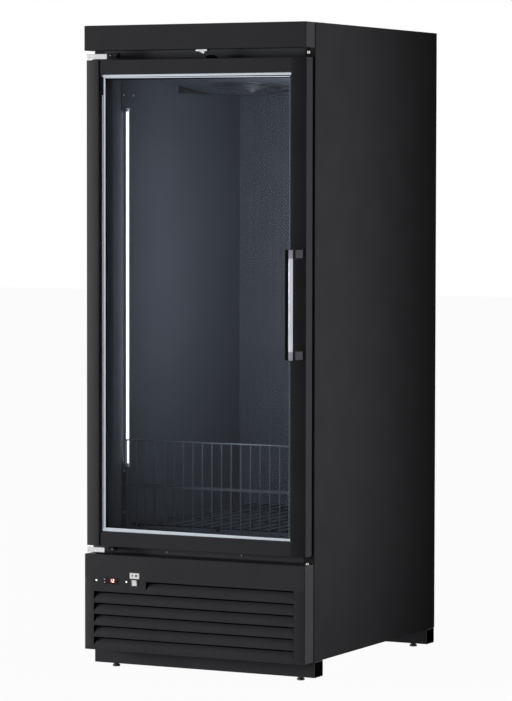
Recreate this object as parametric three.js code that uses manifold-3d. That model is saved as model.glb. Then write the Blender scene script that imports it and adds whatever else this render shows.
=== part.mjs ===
// An upright ice merchandiser freezer: a foam-filled steel cabinet on two base rails,
// one hinged glass door, and a refrigeration unit behind the louvred grille at the bottom.
// Millimetres, +Z up. X runs across the front, Y runs from the front to the back.
// Everything is placed from the cabinet's front plane (Y = 0) and the floor (Z = 0), and the
// whole group is then shifted along Y, so that its origin lies under the middle of its box.
import * as THREE from 'three';
import * as BufferGeometryUtils from 'three/addons/utils/BufferGeometryUtils.js';
import Module from 'manifold-3d';

const wasm = await Module();
wasm.setup();

// ---- Driving dimensions ----
const WIDTH = 762;
const HEIGHT = 1994;
const BODY_DEPTH = 902;
const FRONT_PROUD = 65;          // how far header, door and grille stand in front of the body
const GAP = 0.3;                 // between pieces that touch
const SKIN = 1.2;                // painted steel sheet
const LINER = 1.5;               // inner lining sheet
const BASE_Z = 62;               // lower edge of sides and grille
const RAIL_Z = 13;               // lower face of the base rails
const RETURN_FLANGE = 36;        // width of the side panels' flanges
const TOP_LIP = 16;              // height of the top panel's lips
const COVER_TOP = 397;           // where the rear machine cover meets the back panel

const CABIN_HALF = 316;          // clear half width inside
const CABIN_BACK = 862;
const CABIN_FLOOR = 420;
const CABIN_CEILING = 1934;
const OPENING_TOP = 1856;        // upper edge of the door opening
const BEAM_DEPTH = 50;           // insulated beam over the door opening
const MACHINE_TOP = 358;         // ceiling of the machine compartment

const HEADER_Z = 1917;
const BASE_PANEL_TOP = MACHINE_TOP + SKIN;
const GRILLE_TOP = 360;

const DOOR_HALF = 378;
const DOOR_BOTTOM = 386;
const DOOR_TOP = 1888;
const DOOR_BACK = -15;
const STILE_WIDTH = 48;
const RAIL_WIDTH = 45;
const GLASS_FRONT = -56;
const PANE = 4;
const SPACER_GAP = 13;           // between the two panes
const GLASS_BITE = 7.7;          // how far the glass sits inside the frame
const PIVOT_X = -360;
const PIVOT_Y = -40;
const PIN_RADIUS = 4;

const HANDLE_X = [343.5, 372.5];
const HANDLE_Z = [983, 1312.5];
const HANDLE_REACH = 66;         // from the door's face to the handle's face
const HANDLE_THICK = 14;
const HANDLE_FOOT = 25;          // height of the blocks that carry the bar

const SLOPE_FRONT = [52.5, 1859];   // Y and Z where the evaporator cover starts
const SLOPE_BACK = [640, 1800];     // Y and Z where its slope ends
const EVAP_FAN = [-66, 460];        // X and Y of the fan on the slope
const FAN_RADIUS = 90;              // both fans
const FAN_HOLE = 94;                // hole that a fan turns in
const GUARD_RADIUS = 130;           // outer ring of the wire guard over the cabin's fan

const LOUVRE_TOPS = [283, 245, 209.3, 174, 138.5, 102.5];
const LOUVRE_PITCH = 35.7;
const LOUVRE_LEFT = -348.5;
const LOUVRE_RIGHT = 342.5;
const SHORT_LOUVRE_LEFT = -165;
const LOUVRE_LAND = 6;           // flat strip between two louvres
const LOUVRE_GAP = 7;
const LOUVRE_DEPTH = 11;

const WINDOW = { x: [-316, -259], z: [269, 289] };      // controller's opening in the grille
const SWITCH_HOLE = { x: [-214.6, -194.4], z: [267, 289] };
const SWITCH_PIVOT = [-62.5, 278];

const FENCE_Y = 60;
const FENCE_HALF = 300;
const FENCE_GAPS = 18;
const FENCE_TOP = 708;
const FENCE_MID = 569;

const FOOT_X = 321;
const FOOT_Y = [30, 866];
const HANDLE_FRONT = -FRONT_PROUD - HANDLE_REACH;
const CENTRE_Y = (BODY_DEPTH + HANDLE_FRONT) / 2;

// ---- Materials ----
function finish(colour, roughness, metalness = 0) {
  return new THREE.MeshStandardMaterial({ color: colour, roughness, metalness });
}
const blackPaint = finish(0x2f2f31, 0.45, 0.2);
const linerPaint = finish(0x3c4046, 0.5);
const blackPlastic = finish(0x1c1c1e, 0.55);
const galvanised = finish(0x9aa0a4, 0.4, 0.9);
const zinc = finish(0xc9ccd2, 0.3, 1);
const aluminium = finish(0xb4b6bf, 0.35, 1);
const copper = finish(0xb87333, 0.35, 1);
const foam = finish(0xd9c99a, 0.9);
const rubber = finish(0x151515, 0.85);
const whitePlastic = finish(0xf2f2f0, 0.5);
const glass = finish(0xaec4cc, 0.05);
const lamp = finish(0xffffff, 0.4);

// ---- Shape helpers ----
function block(x, y, z) {
  const geometry = new THREE.BoxGeometry(x[1] - x[0], y[1] - y[0], z[1] - z[0]);
  return geometry.translate((x[0] + x[1]) / 2, (y[0] + y[1]) / 2, (z[0] + z[1]) / 2);
}

function outline(points) {
  return new THREE.Shape(points.map(([u, v]) => new THREE.Vector2(u, v)));
}

function extrude(shape, length, curveSegments) {
  return new THREE.ExtrudeGeometry(shape, { depth: length, bevelEnabled: false, curveSegments });
}

// The shape's axes are X and Y.
function upright(shape, z, curveSegments = 6) {
  return extrude(shape, z[1] - z[0], curveSegments).translate(0, 0, z[0]);
}

// The shape's axes are Y and Z.
function crosswise(shape, x, curveSegments = 6) {
  const turn = new THREE.Matrix4().set(0, 0, 1, x[0], 1, 0, 0, 0, 0, 1, 0, 0, 0, 0, 0, 1);
  return extrude(shape, x[1] - x[0], curveSegments).applyMatrix4(turn);
}

// The shape's axes are X and Z.
function lengthwise(shape, y, curveSegments = 6) {
  const turn = new THREE.Matrix4().set(1, 0, 0, 0, 0, 0, -1, y[1], 0, 1, 0, 0, 0, 0, 0, 1);
  return extrude(shape, y[1] - y[0], curveSegments).applyMatrix4(turn);
}

function rod(start, end, radius, sides = 8) {
  const from = new THREE.Vector3(...start);
  const along = new THREE.Vector3(...end).sub(from);
  const geometry = new THREE.CylinderGeometry(radius, radius, along.length(), sides);
  const middle = from.clone().addScaledVector(along, 0.5);
  const turn = new THREE.Quaternion();
  turn.setFromUnitVectors(new THREE.Vector3(0, 1, 0), along.normalize());
  return geometry.applyQuaternion(turn).translate(middle.x, middle.y, middle.z);
}

function ring(radius, wire, z, steps = 20, sides = 4) {
  return new THREE.TorusGeometry(radius, wire, sides, steps).translate(0, 0, z);
}

function solid(geometry) {
  const bare = geometry.clone();
  bare.deleteAttribute('normal');
  bare.deleteAttribute('uv');
  const merged = BufferGeometryUtils.mergeVertices(bare, 1e-4);
  return new wasm.Manifold(new wasm.Mesh({
    numProp: 3,
    vertProperties: new Float32Array(merged.attributes.position.array),
    triVerts: new Uint32Array(merged.index.array),
  }));
}

function geometryOf(manifold) {
  const mesh = manifold.getMesh();
  const geometry = new THREE.BufferGeometry();
  geometry.setAttribute('position', new THREE.BufferAttribute(mesh.vertProperties, 3));
  geometry.setIndex(new THREE.BufferAttribute(mesh.triVerts, 1));
  geometry.computeVertexNormals();
  return geometry;
}

function join(...parts) {
  return geometryOf(parts.map(solid).reduce((whole, part) => whole.add(part)));
}

function cut(body, ...tools) {
  return geometryOf(tools.map(solid).reduce((rest, tool) => rest.subtract(tool), solid(body)));
}

const cabinet = new THREE.Group();
cabinet.position.y = -CENTRE_Y;

function piece(name, geometry, material, parent = cabinet) {
  const mesh = new THREE.Mesh(geometry, material);
  mesh.name = name;
  parent.add(mesh);
  return mesh;
}

// ---- Outer shell ----
function sidePanel(side) {
  const edge = side * WIDTH / 2;
  const inner = edge - side * SKIN;
  const flange = edge - side * RETURN_FLANGE;
  const profile = outline([
    [edge, 0], [edge, BODY_DEPTH], [flange, BODY_DEPTH], [flange, BODY_DEPTH - SKIN],
    [inner, BODY_DEPTH - SKIN], [inner, SKIN], [flange, SKIN], [flange, 0],
  ]);
  return upright(profile, [BASE_Z, HEIGHT]);
}

const SHELL_HALF = WIDTH / 2 - SKIN - GAP;
const BACK_FACE = BODY_DEPTH - SKIN - GAP;      // rear face of the sheets between the side flanges
const INNER_BACK = BACK_FACE - SKIN - GAP;      // nothing inside the shell reaches further back
const INNER_FRONT = 3.6;                        // just behind the face frame

// A block that fills the width between the side panels.
function spanSheet(y, z) {
  return block([-SHELL_HALF, SHELL_HALF], y, z);
}

function topPanel() {
  const y = [SKIN + GAP, INNER_BACK];
  const low = HEIGHT - TOP_LIP;
  const under = HEIGHT - SKIN;
  const profile = outline([
    [y[0], low], [y[0] + SKIN, low], [y[0] + SKIN, under], [y[1] - SKIN, under],
    [y[1] - SKIN, low], [y[1], low], [y[1], HEIGHT], [y[0], HEIGHT],
  ]);
  return crosswise(profile, [-SHELL_HALF, SHELL_HALF]);
}

const LOCK_X = 23;
const BOLT_Y = [-52, -48];

function boltSlot(z) {
  return block([LOCK_X - 9.4, LOCK_X + 9.4], [BOLT_Y[0] - 0.4, BOLT_Y[1] + 0.4], z);
}

function headerFascia() {
  const x = WIDTH / 2;
  const shell = block([-x, x], [-FRONT_PROUD, -GAP], [HEADER_Z, HEIGHT]);
  const hollow = block([-x + SKIN, x - SKIN], [-FRONT_PROUD + SKIN, 1], [HEADER_Z + SKIN, HEIGHT - SKIN]);
  return cut(shell, hollow, boltSlot([HEADER_Z - 1, HEADER_Z + 3]));
}

const GLAND = { x: -300, z: 110, radius: 10.6, bore: 5 };

function glandRod(y, radius) {
  return rod([GLAND.x, y[0], GLAND.z], [GLAND.x, y[1], GLAND.z], radius, 24);
}

function rearMachineCover() {
  const slots = [];
  for (let row = 0; row < 9; row++) {
    const z = 110 + row * 22;
    slots.push(block([-230, 230], [BACK_FACE - 20, BACK_FACE + 1], [z, z + 9]));
  }
  const cordHole = glandRod([BACK_FACE - 5, BACK_FACE + 5], GLAND.radius + 0.4);
  const sheet = spanSheet([BACK_FACE - SKIN, BACK_FACE], [BASE_Z + 5, COVER_TOP]);
  return cut(sheet, ...slots, cordHole);
}

function cordGland() {
  const flange = glandRod([BACK_FACE + GAP, BODY_DEPTH], 15);
  const neck = glandRod([BACK_FACE - 14, BODY_DEPTH - 0.5], GLAND.radius);
  const bore = glandRod([BACK_FACE - 20, BODY_DEPTH + 5], GLAND.bore);
  return cut(join(flange, neck), bore);
}

piece('left_side_panel', sidePanel(-1), blackPaint);
piece('right_side_panel', sidePanel(1), blackPaint);
piece('top_panel', topPanel(), blackPaint);
piece('back_panel', spanSheet([BACK_FACE - SKIN, BACK_FACE], [COVER_TOP + GAP, HEIGHT]), blackPaint);
piece('header_fascia', headerFascia(), blackPaint);
piece('cabin_base_panel', spanSheet([INNER_FRONT, INNER_BACK], [MACHINE_TOP, BASE_PANEL_TOP]), galvanised);
piece('rear_machine_cover', rearMachineCover(), galvanised);
piece('power_cord_gland', cordGland(), blackPlastic);

// ---- Insulation and lining ----
function insulation() {
  const wall = LINER + GAP;
  const height = [BASE_PANEL_TOP + GAP, HEIGHT - SKIN - GAP];
  const outer = spanSheet([INNER_FRONT, INNER_BACK - SKIN - GAP], height);
  const cabin = block([-CABIN_HALF - wall, CABIN_HALF + wall], [BEAM_DEPTH, CABIN_BACK + wall],
    [CABIN_FLOOR - wall, CABIN_CEILING + wall]);
  const opening = block([-CABIN_HALF - wall, CABIN_HALF + wall], [0, BEAM_DEPTH + 10],
    [CABIN_FLOOR - wall, OPENING_TOP + wall]);
  return cut(outer, cabin, opening);
}

const LINER_FRONT = BEAM_DEPTH + GAP;
const INNER_HALF = CABIN_HALF - GAP;
const LINER_REAR = CABIN_BACK - GAP;

function linerSide(side) {
  const x = rising(side * CABIN_HALF, side * (CABIN_HALF + LINER));
  return block(x, [LINER_FRONT, CABIN_BACK + LINER], [CABIN_FLOOR - LINER, CABIN_CEILING + LINER]);
}

function linerCeiling() {
  const y = LINER_FRONT;
  const profile = outline([
    [y, OPENING_TOP + GAP], [y + LINER, OPENING_TOP + GAP], [y + LINER, CABIN_CEILING],
    [LINER_REAR, CABIN_CEILING], [LINER_REAR, CABIN_CEILING + LINER], [y, CABIN_CEILING + LINER],
  ]);
  return crosswise(profile, [-INNER_HALF, INNER_HALF]);
}

const FRAME_DEPTH = 3;
const FRAME_HALF = WIDTH / 2 - RETURN_FLANGE - GAP;

function faceFrameSide(side) {
  const inner = side * CABIN_HALF;
  const profile = outline([
    [side * FRAME_HALF, 0], [inner, 0], [inner, LINER_FRONT - GAP],
    [inner + side * LINER, LINER_FRONT - GAP], [inner + side * LINER, FRAME_DEPTH],
    [side * FRAME_HALF, FRAME_DEPTH],
  ]);
  return upright(profile, [CABIN_FLOOR + GAP, OPENING_TOP - GAP]);
}

function rising(a, b) {
  return [Math.min(a, b), Math.max(a, b)];
}

function faceFrameEnd(edge, far, back) {
  const front = block([-FRAME_HALF, FRAME_HALF], [0, FRAME_DEPTH], rising(edge, far));
  const lip = edge + Math.sign(far - edge) * LINER;
  const leg = block([-CABIN_HALF - LINER, CABIN_HALF + LINER], [0.5, back], rising(edge, lip));
  return join(front, leg);
}

piece('insulation_foam', insulation(), foam);
piece('liner_left', linerSide(-1), linerPaint);
piece('liner_right', linerSide(1), linerPaint);
piece('liner_ceiling', linerCeiling(), linerPaint);
piece('liner_back', block([-INNER_HALF, INNER_HALF], [CABIN_BACK, CABIN_BACK + LINER],
  [CABIN_FLOOR + GAP, CABIN_CEILING - GAP]), linerPaint);
piece('liner_floor', block([-INNER_HALF, INNER_HALF], [LINER_FRONT, LINER_REAR],
  [CABIN_FLOOR - LINER, CABIN_FLOOR]), linerPaint);
piece('face_frame_left', faceFrameSide(-1), blackPlastic);
piece('face_frame_right', faceFrameSide(1), blackPlastic);
piece('face_frame_top', faceFrameEnd(OPENING_TOP, HEIGHT - TOP_LIP - 1, BEAM_DEPTH), blackPlastic);
piece('face_frame_bottom', faceFrameEnd(CABIN_FLOOR, GRILLE_TOP + 3, LINER_FRONT - GAP), blackPlastic);

// ---- Base: two rails of rectangular tube, a floor tray and four levelling feet ----
const RAIL_SHEET = 2.5;
const STUD_RADIUS = 5;
const RAIL_TOP = BASE_Z - GAP;
const TRAY_TOP = BASE_Z + 2;

function baseRail(front, back) {
  const x = WIDTH / 2;
  const tube = block([-x, x], [front, back], [RAIL_Z, RAIL_TOP]);
  const bore = block([-x - 1, x + 1], [front + RAIL_SHEET, back - RAIL_SHEET],
    [RAIL_Z + RAIL_SHEET, RAIL_TOP - RAIL_SHEET]);
  const y = (front + back) / 2;
  const hole = (at) => rod([at, y, RAIL_Z - 1], [at, y, RAIL_Z + RAIL_SHEET + 1], STUD_RADIUS + 0.4, 16);
  return cut(tube, bore, hole(-FOOT_X), hole(FOOT_X));
}

function levellingFoot(x, y) {
  const pad = rod([x, y, 0], [x, y, 6], 12, 20);
  const nut = rod([x, y, 5.5], [x, y, 9.5], 9, 6);
  const stud = rod([x, y, 1], [x, y, 50], STUD_RADIUS, 12);
  return join(pad, nut, stud);
}

piece('front_base_rail', baseRail(0, 60), blackPaint);
piece('rear_base_rail', baseRail(836, 896), blackPaint);
piece('machine_tray', spanSheet([SKIN + GAP, INNER_BACK], [BASE_Z, TRAY_TOP]), galvanised);
piece('front_left_foot', levellingFoot(-FOOT_X, FOOT_Y[0]), zinc);
piece('front_right_foot', levellingFoot(FOOT_X, FOOT_Y[0]), zinc);
piece('rear_left_foot', levellingFoot(-FOOT_X, FOOT_Y[1]), zinc);
piece('rear_right_foot', levellingFoot(FOOT_X, FOOT_Y[1]), zinc);

// ---- Front grille with pressed louvres ----
const GRILLE_FACE = -FRONT_PROUD;
const SHEET_BACK = GRILLE_FACE + SKIN;
const BLADE = 1.4;

// A louvre's blade starts in the sheet at its foot and curves inward to an open gap at its top.
function louvreCurve(top) {
  const foot = top - LOUVRE_PITCH + LOUVRE_LAND;
  const rise = top - LOUVRE_GAP - foot;
  const points = [];
  for (let step = 0; step <= 4; step++) {
    const t = step / 4;
    points.push([GRILLE_FACE + 0.1 + LOUVRE_DEPTH * t * t, foot - 1 + (rise + 1) * t]);
  }
  return points;
}

function louvre(left, right, top) {
  const front = louvreCurve(top);
  const back = front.map(([y, z]) => [y + BLADE, z]).reverse();
  const blade = crosswise(outline([...front, ...back]), [left - SKIN, right + SKIN]);
  const middle = front.map(([y, z]) => [y + BLADE / 2, z]);
  const inside = middle[middle.length - 1][0];
  const cheek = outline([...middle, [inside, top + 0.5], [GRILLE_FACE + 0.4, top + 0.5]]);
  const leftCheek = crosswise(cheek, [left - SKIN, left]);
  const rightCheek = crosswise(cheek, [right, right + SKIN]);
  return [blade, leftCheek, rightCheek];
}

function grilleHole(x, z) {
  return block(x, [GRILLE_FACE - 1, SHEET_BACK + 2], z);
}

function frontGrille() {
  const x = WIDTH / 2;
  const shell = block([-x, x], [GRILLE_FACE, -GAP], [BASE_Z, GRILLE_TOP]);
  const hollow = block([-x + SKIN, x - SKIN], [SHEET_BACK, 1], [BASE_Z + SKIN, GRILLE_TOP - SKIN]);
  const floorCut = block([-x + SKIN, x - SKIN], [GRILLE_FACE + 14, 1], [BASE_Z - 1, BASE_Z + 5]);
  const openings = [grilleHole(WINDOW.x, WINDOW.z), grilleHole(SWITCH_HOLE.x, SWITCH_HOLE.z)];
  const blades = [];
  LOUVRE_TOPS.forEach((top, row) => {
    const left = row === 0 ? SHORT_LOUVRE_LEFT : LOUVRE_LEFT;
    openings.push(grilleHole([left, LOUVRE_RIGHT], [top - LOUVRE_PITCH + LOUVRE_LAND, top]));
    blades.push(...louvre(left, LOUVRE_RIGHT, top));
  });
  return join(cut(shell, hollow, floorCut, ...openings), ...blades);
}

const KEY_X = WINDOW.x[0] + 6;
const KEY_Z = [274.5, 283.5];
const KEY_RADIUS = 2;

function grown(range, amount) {
  return [range[0] - amount, range[1] + amount];
}

function temperatureController() {
  const lens = block(grown(WINDOW.x, -GAP), [GRILLE_FACE - 0.5, SHEET_BACK + 2], grown(WINDOW.z, -GAP));
  const body = block(grown(WINDOW.x, 9), [SHEET_BACK + GAP, -12], grown(WINDOW.z, 7));
  const wells = KEY_Z.map((z) => keyRod([GRILLE_FACE - 1, GRILLE_FACE + 7], KEY_RADIUS + 0.4, z));
  return cut(join(lens, body), ...wells);
}

function keyRod(y, radius, z) {
  return rod([KEY_X, y[0], z], [KEY_X, y[1], z], radius, 16);
}

function controllerKey(z) {
  return keyRod([GRILLE_FACE - 1.3, GRILLE_FACE + 5], KEY_RADIUS, z);
}

function switchHousing() {
  const front = GRILLE_FACE - 1.2;
  const collar = block(grown(SWITCH_HOLE.x, 2), [front, GRILLE_FACE - GAP], grown(SWITCH_HOLE.z, 1));
  const body = block(grown(SWITCH_HOLE.x, -GAP), [GRILLE_FACE - 1, -30], grown(SWITCH_HOLE.z, -GAP));
  const well = block(grown(SWITCH_HOLE.x, -1.6), [front - 1, front + 16], grown(SWITCH_HOLE.z, -1.4));
  return cut(join(collar, body), well);
}

// Seen from the side the rocker is a flat V on a round back; at rest its lower half is pressed in.
function switchRocker() {
  const tilt = THREE.MathUtils.degToRad(8);
  const half = 8.6;
  const shape = outline([
    [-5.2, -half], [-4.2, 0], [-5.2, half], [1, half - 1], [5, 3], [5, -3], [1, -half + 1],
  ]);
  const rocker = crosswise(shape, grown(SWITCH_HOLE.x, -2));
  return rocker.rotateX(tilt).translate(0, SWITCH_PIVOT[0], SWITCH_PIVOT[1]);
}

piece('front_grille', frontGrille(), blackPaint);
piece('temperature_controller', temperatureController(), blackPlastic);
piece('controller_key_down', controllerKey(KEY_Z[0]), blackPlastic);
piece('controller_key_up', controllerKey(KEY_Z[1]), blackPlastic);
piece('power_switch_housing', switchHousing(), blackPlastic);
piece('power_switch_rocker', switchRocker(), whitePlastic);

// ---- Refrigeration unit in the machine compartment ----
// A block of fins, cut open on its front by one groove for each pitch.
function finnedCoil(x, y, z, pitch) {
  const points = [[y[0], z[0]], [y[1], z[0]], [y[1], z[1]]];
  const fin = pitch / 2;
  const grooveBack = y[0] + (y[1] - y[0]) / 4;
  for (let edge = z[1]; edge - pitch > z[0]; edge -= pitch) {
    points.push([y[0], edge], [y[0], edge - fin], [grooveBack, edge - fin], [grooveBack, edge - pitch]);
  }
  return crosswise(outline(points), x);
}

const FAN_HUB = 22;
const CONDENSER_FAN = { x: 90, y: 250, z: 214 };
const SHROUD_Y = [200, 204];

// Five pitched blades on a hub. The fan's axis is Z here, and it is turned into place afterwards.
function fanBlades(radius, height) {
  const hub = new THREE.CylinderGeometry(FAN_HUB, FAN_HUB, height, 20).rotateX(Math.PI / 2);
  const blades = [];
  for (let count = 0; count < 5; count++) {
    const blade = new THREE.BoxGeometry(radius - 14, radius * 0.6, 1.6);
    blade.translate((radius + 14) / 2, 0, 0).rotateX(THREE.MathUtils.degToRad(18));
    blades.push(blade.rotateZ((count * 2 * Math.PI) / 5));
  }
  const sweep = new THREE.CylinderGeometry(radius, radius, height * 3, 40).rotateX(Math.PI / 2);
  return geometryOf(solid(join(hub, ...blades)).intersect(solid(sweep)));
}

// A plate with a collar that the fan turns in, and two legs that hold the motor behind it.
function condenserFanShroud() {
  const { x, y, z } = CONDENSER_FAN;
  const along = (from, to, radius) => rod([x, from, z], [x, to, z], radius, 40);
  const plate = block([x - 170, x + 170], SHROUD_Y, [TRAY_TOP + GAP, 352]);
  const collar = along(SHROUD_Y[0] + 1, y + 10, FAN_HOLE + 4);
  const bore = along(SHROUD_Y[0] - 10, y + 20, FAN_HOLE);
  const motor = along(y + 18, y + 80, 40);
  const width = [x - 12, x + 12];
  const end = y + 58;
  const leg = FAN_HOLE + 3;
  const arm = block(width, [end - 8, end], [z - leg, z + leg]);
  const lowerLeg = block(width, [SHROUD_Y[0] + 2, end], [z - leg - 6, z - leg]);
  const upperLeg = block(width, [SHROUD_Y[0] + 2, end], [z + leg, z + leg + 6]);
  return join(cut(join(plate, collar), bore), motor, arm, lowerLeg, upperLeg);
}

const COMPRESSOR = [-180, 560];

function compressor() {
  const profile = [[0, 0], [88, 0], [104, 10], [108, 60], [106, 110], [92, 150], [56, 172], [0, 178]];
  const shell = new THREE.LatheGeometry(profile.map(([r, z]) => new THREE.Vector2(r, z)), 28);
  const [x, y] = COMPRESSOR;
  shell.rotateX(Math.PI / 2).translate(x, y, TRAY_TOP + 20);
  const foot = block([x - 120, x + 120], [y - 110, y + 110], [TRAY_TOP + 10, TRAY_TOP + 22]);
  const grommets = [x - 100, x + 100].flatMap((gx) => [y - 90, y + 90].map((gy) =>
    rod([gx, gy, TRAY_TOP + GAP], [gx, gy, TRAY_TOP + 14], 12, 12)));
  const terminal = block([x + 78, x + 118], [y - 35, y + 35], [120, 185]);
  return join(shell, foot, terminal, ...grommets);
}

function condensatePan() {
  const tub = block([60, 330], [480, 760], [TRAY_TOP + GAP, 104]);
  const hollow = block([64, 326], [484, 756], [TRAY_TOP + 6, 110]);
  return cut(tub, hollow);
}

piece('condenser_coil', finnedCoil([-90, 270], [130, 190], [TRAY_TOP + GAP, 350], 14), aluminium);
piece('condenser_fan_shroud', condenserFanShroud(), galvanised);
const condenserFan = new THREE.Group();
condenserFan.position.set(CONDENSER_FAN.x, CONDENSER_FAN.y, CONDENSER_FAN.z);
condenserFan.rotation.x = -Math.PI / 2;
cabinet.add(condenserFan);
piece('condenser_fan_blade', fanBlades(FAN_RADIUS, 26), blackPlastic, condenserFan);
piece('compressor', compressor(), blackPaint);
piece('condensate_pan', condensatePan(), blackPlastic);

// ---- Evaporator under the cabin's ceiling ----
const SLOPE_RUN = SLOPE_BACK[0] - SLOPE_FRONT[0];
const SLOPE_DROP = SLOPE_FRONT[1] - SLOPE_BACK[1];
const SLOPE_ANGLE = Math.atan2(SLOPE_DROP, SLOPE_RUN);
const COVER_HALF = CABIN_HALF - 1;

const CHEEK_FRONT = 430;

function slopeHeight(y) {
  return SLOPE_FRONT[1] - (y - SLOPE_FRONT[0]) * SLOPE_DROP / SLOPE_RUN;
}

// Puts a shape whose axis is Z on the slope, at the fan's centre.
function fanPlaced(geometry) {
  return geometry.rotateX(-SLOPE_ANGLE).translate(EVAP_FAN[0], EVAP_FAN[1], slopeHeight(EVAP_FAN[1]));
}

// A sheet that slopes back and then runs level, with a fan hole and a cheek at each wall.
function evaporatorCover() {
  const [y0, z0] = SLOPE_FRONT;
  const [y1, z1] = SLOPE_BACK;
  const end = CABIN_BACK - 24;
  const sheet = 1.5;
  const profile = outline([
    [y0, z0], [y1, z1], [end, z1], [end, z1 + sheet], [y1, z1 + sheet], [y0, z0 + sheet],
  ]);
  const panel = crosswise(profile, [-COVER_HALF, COVER_HALF]);
  const low = z1 - 3;
  const cheek = outline([
    [CHEEK_FRONT, low], [y1, low], [y1, z1 + 0.5], [CHEEK_FRONT, slopeHeight(CHEEK_FRONT) + 0.5],
  ]);
  const leftCheek = crosswise(cheek, [-COVER_HALF, -COVER_HALF + 2]);
  const rightCheek = crosswise(cheek, [COVER_HALF - 2, COVER_HALF]);
  const hole = fanPlaced(rod([0, 0, -15], [0, 0, 15], FAN_HOLE, 40));
  return join(cut(panel, hole), leftCheek, rightCheek);
}

// The guard is a flat dome of wire rings and spokes that hangs under the slope.
function fanGuard() {
  const rim = [GUARD_RADIUS, -4];
  const shoulder = [GUARD_RADIUS - 38, -12];
  const hub = [16, -18.5];
  const parts = [rim, shoulder, [60, -15], [30, -17.2]].map(([radius, z]) => ring(radius, 1.8, z));
  for (let spoke = 0; spoke < 6; spoke++) {
    const angle = (spoke * Math.PI) / 3;
    const at = ([radius, z]) => [radius * Math.cos(angle), radius * Math.sin(angle), z];
    parts.push(rod(at(rim), at(shoulder), 1.6, 4));
    parts.push(rod(at(shoulder), at(hub), 1.6, 4));
  }
  parts.push(rod([0, 0, hub[1] - 1.5], [0, 0, hub[1] + 1.5], hub[0] + 2, 16));
  return fanPlaced(join(...parts));
}

piece('evaporator_coil', finnedCoil([-290, 290], [690, 820], [1812, 1926], 12), aluminium);
piece('evaporator_cover', evaporatorCover(), linerPaint);
piece('evaporator_fan_guard', fanGuard(), zinc);
piece('evaporator_fan_blade', fanPlaced(fanBlades(FAN_RADIUS, 22).translate(0, 0, 18)), blackPlastic);

// ---- Lights, fence and rack in the cabin ----
const LIGHT_Z = [622, 1743];
const LIGHT_X = 308;
const LIGHT_Y = 78;
const LIGHT_RADIUS = 7;
const LIGHT_PLATE = { y: [51, 136], z: [1737, 1824] };

function lightStrip(side) {
  const x = side * LIGHT_X;
  const wall = side * (CABIN_HALF - GAP);
  const tube = rod([x, LIGHT_Y, LIGHT_Z[0]], [x, LIGHT_Y, LIGHT_Z[1]], LIGHT_RADIUS, 16);
  const rib = block(rising(x, wall), [LIGHT_Y - 4, LIGHT_Y + 4], [LIGHT_Z[0] + 4, LIGHT_Z[1] - 4]);
  const plate = block(rising(wall, wall - side * 2.5), LIGHT_PLATE.y, LIGHT_PLATE.z);
  return join(tube, rib, plate);
}

function crossWire(y, z, radius) {
  return rod([-FENCE_HALF - 12, y, z], [FENCE_HALF + 12, y, z], radius, 8);
}

// Upright wires welded to rails behind them, with a second wire in front at mid height.
function wireFence() {
  const parts = [];
  const pitch = (2 * FENCE_HALF) / FENCE_GAPS;
  for (let wire = 0; wire <= FENCE_GAPS; wire++) {
    const x = -FENCE_HALF + wire * pitch;
    parts.push(rod([x, FENCE_Y, CABIN_FLOOR + GAP], [x, FENCE_Y, FENCE_TOP + 1], 1.8, 6));
  }
  [CABIN_FLOOR + 12, FENCE_MID, FENCE_TOP].forEach((z) => parts.push(crossWire(FENCE_Y + 3.8, z, 2.6)));
  parts.push(crossWire(FENCE_Y - 3.4, FENCE_MID - 4, 2.2));
  return join(...parts);
}

const RACK_TOP = 448;

function floorRack() {
  const parts = [];
  for (let bar = 0; bar < 13; bar++) {
    const x = -288 + bar * 48;
    parts.push(block([x - 2.5, x + 2.5], [78, 840], [RACK_TOP - 5, RACK_TOP]));
  }
  const bearers = [96, 330, 580, 822];
  bearers.forEach((y) => parts.push(block([-300, 300], [y, y + 6], [RACK_TOP - 9, RACK_TOP - 4])));
  [-280, 0, 280].forEach((x) => bearers.forEach((y) => {
    parts.push(block([x - 4, x + 4], [y, y + 6], [CABIN_FLOOR + GAP, RACK_TOP - 8]));
  }));
  return join(...parts);
}

piece('left_light_strip', lightStrip(-1), lamp);
piece('right_light_strip', lightStrip(1), lamp);
piece('wire_fence', wireFence(), blackPaint);
piece('floor_rack', floorRack(), blackPaint);

// ---- Hinges and lock on the cabinet ----
const BRACKET_X = [-378, -297];
const BRACKET_PLATE_X = [-376, -303.5];
const PIN_BITE = 11;

function pivotRod(from, to, radius) {
  return rod([PIVOT_X, PIVOT_Y, from], [PIVOT_X, PIVOT_Y, to], radius, 20);
}

// A vertical flange on the face frame carries a forward plate with a front lip and the hinge pin.
// The pin points to the door: down at the top hinge and up at the bottom one.
function hingeBracket(plateZ, toward) {
  const plate = block(BRACKET_PLATE_X, [-57, -GAP], [plateZ, plateZ + 4]);
  const flangeZ = toward < 0 ? [DOOR_TOP + 6, HEADER_Z - 5] : [GRILLE_TOP + 5, DOOR_BOTTOM - 6];
  const flange = block(BRACKET_X, [-GAP - 3, -GAP], flangeZ);
  const lipZ = toward < 0 ? [DOOR_TOP + 3, HEADER_Z - 5] : [GRILLE_TOP + 4, DOOR_BOTTOM - 4];
  const lip = block(BRACKET_PLATE_X, [-60, -56.5], lipZ);
  const start = toward < 0 ? plateZ + 6 : plateZ - 2;
  const face = toward < 0 ? DOOR_TOP : DOOR_BOTTOM;
  const pin = pivotRod(start, face + toward * PIN_BITE, PIN_RADIUS);
  const washer = pivotRod(plateZ + 2, face - toward * GAP, 9);
  return join(plate, flange, lip, pin, washer);
}

function lockHousing() {
  const bar = block([LOCK_X - 19, LOCK_X + 19], [-57, -40], [HEADER_Z - 7, HEADER_Z - GAP]);
  return cut(bar, boltSlot([HEADER_Z - 8, HEADER_Z + 1]));
}

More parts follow.
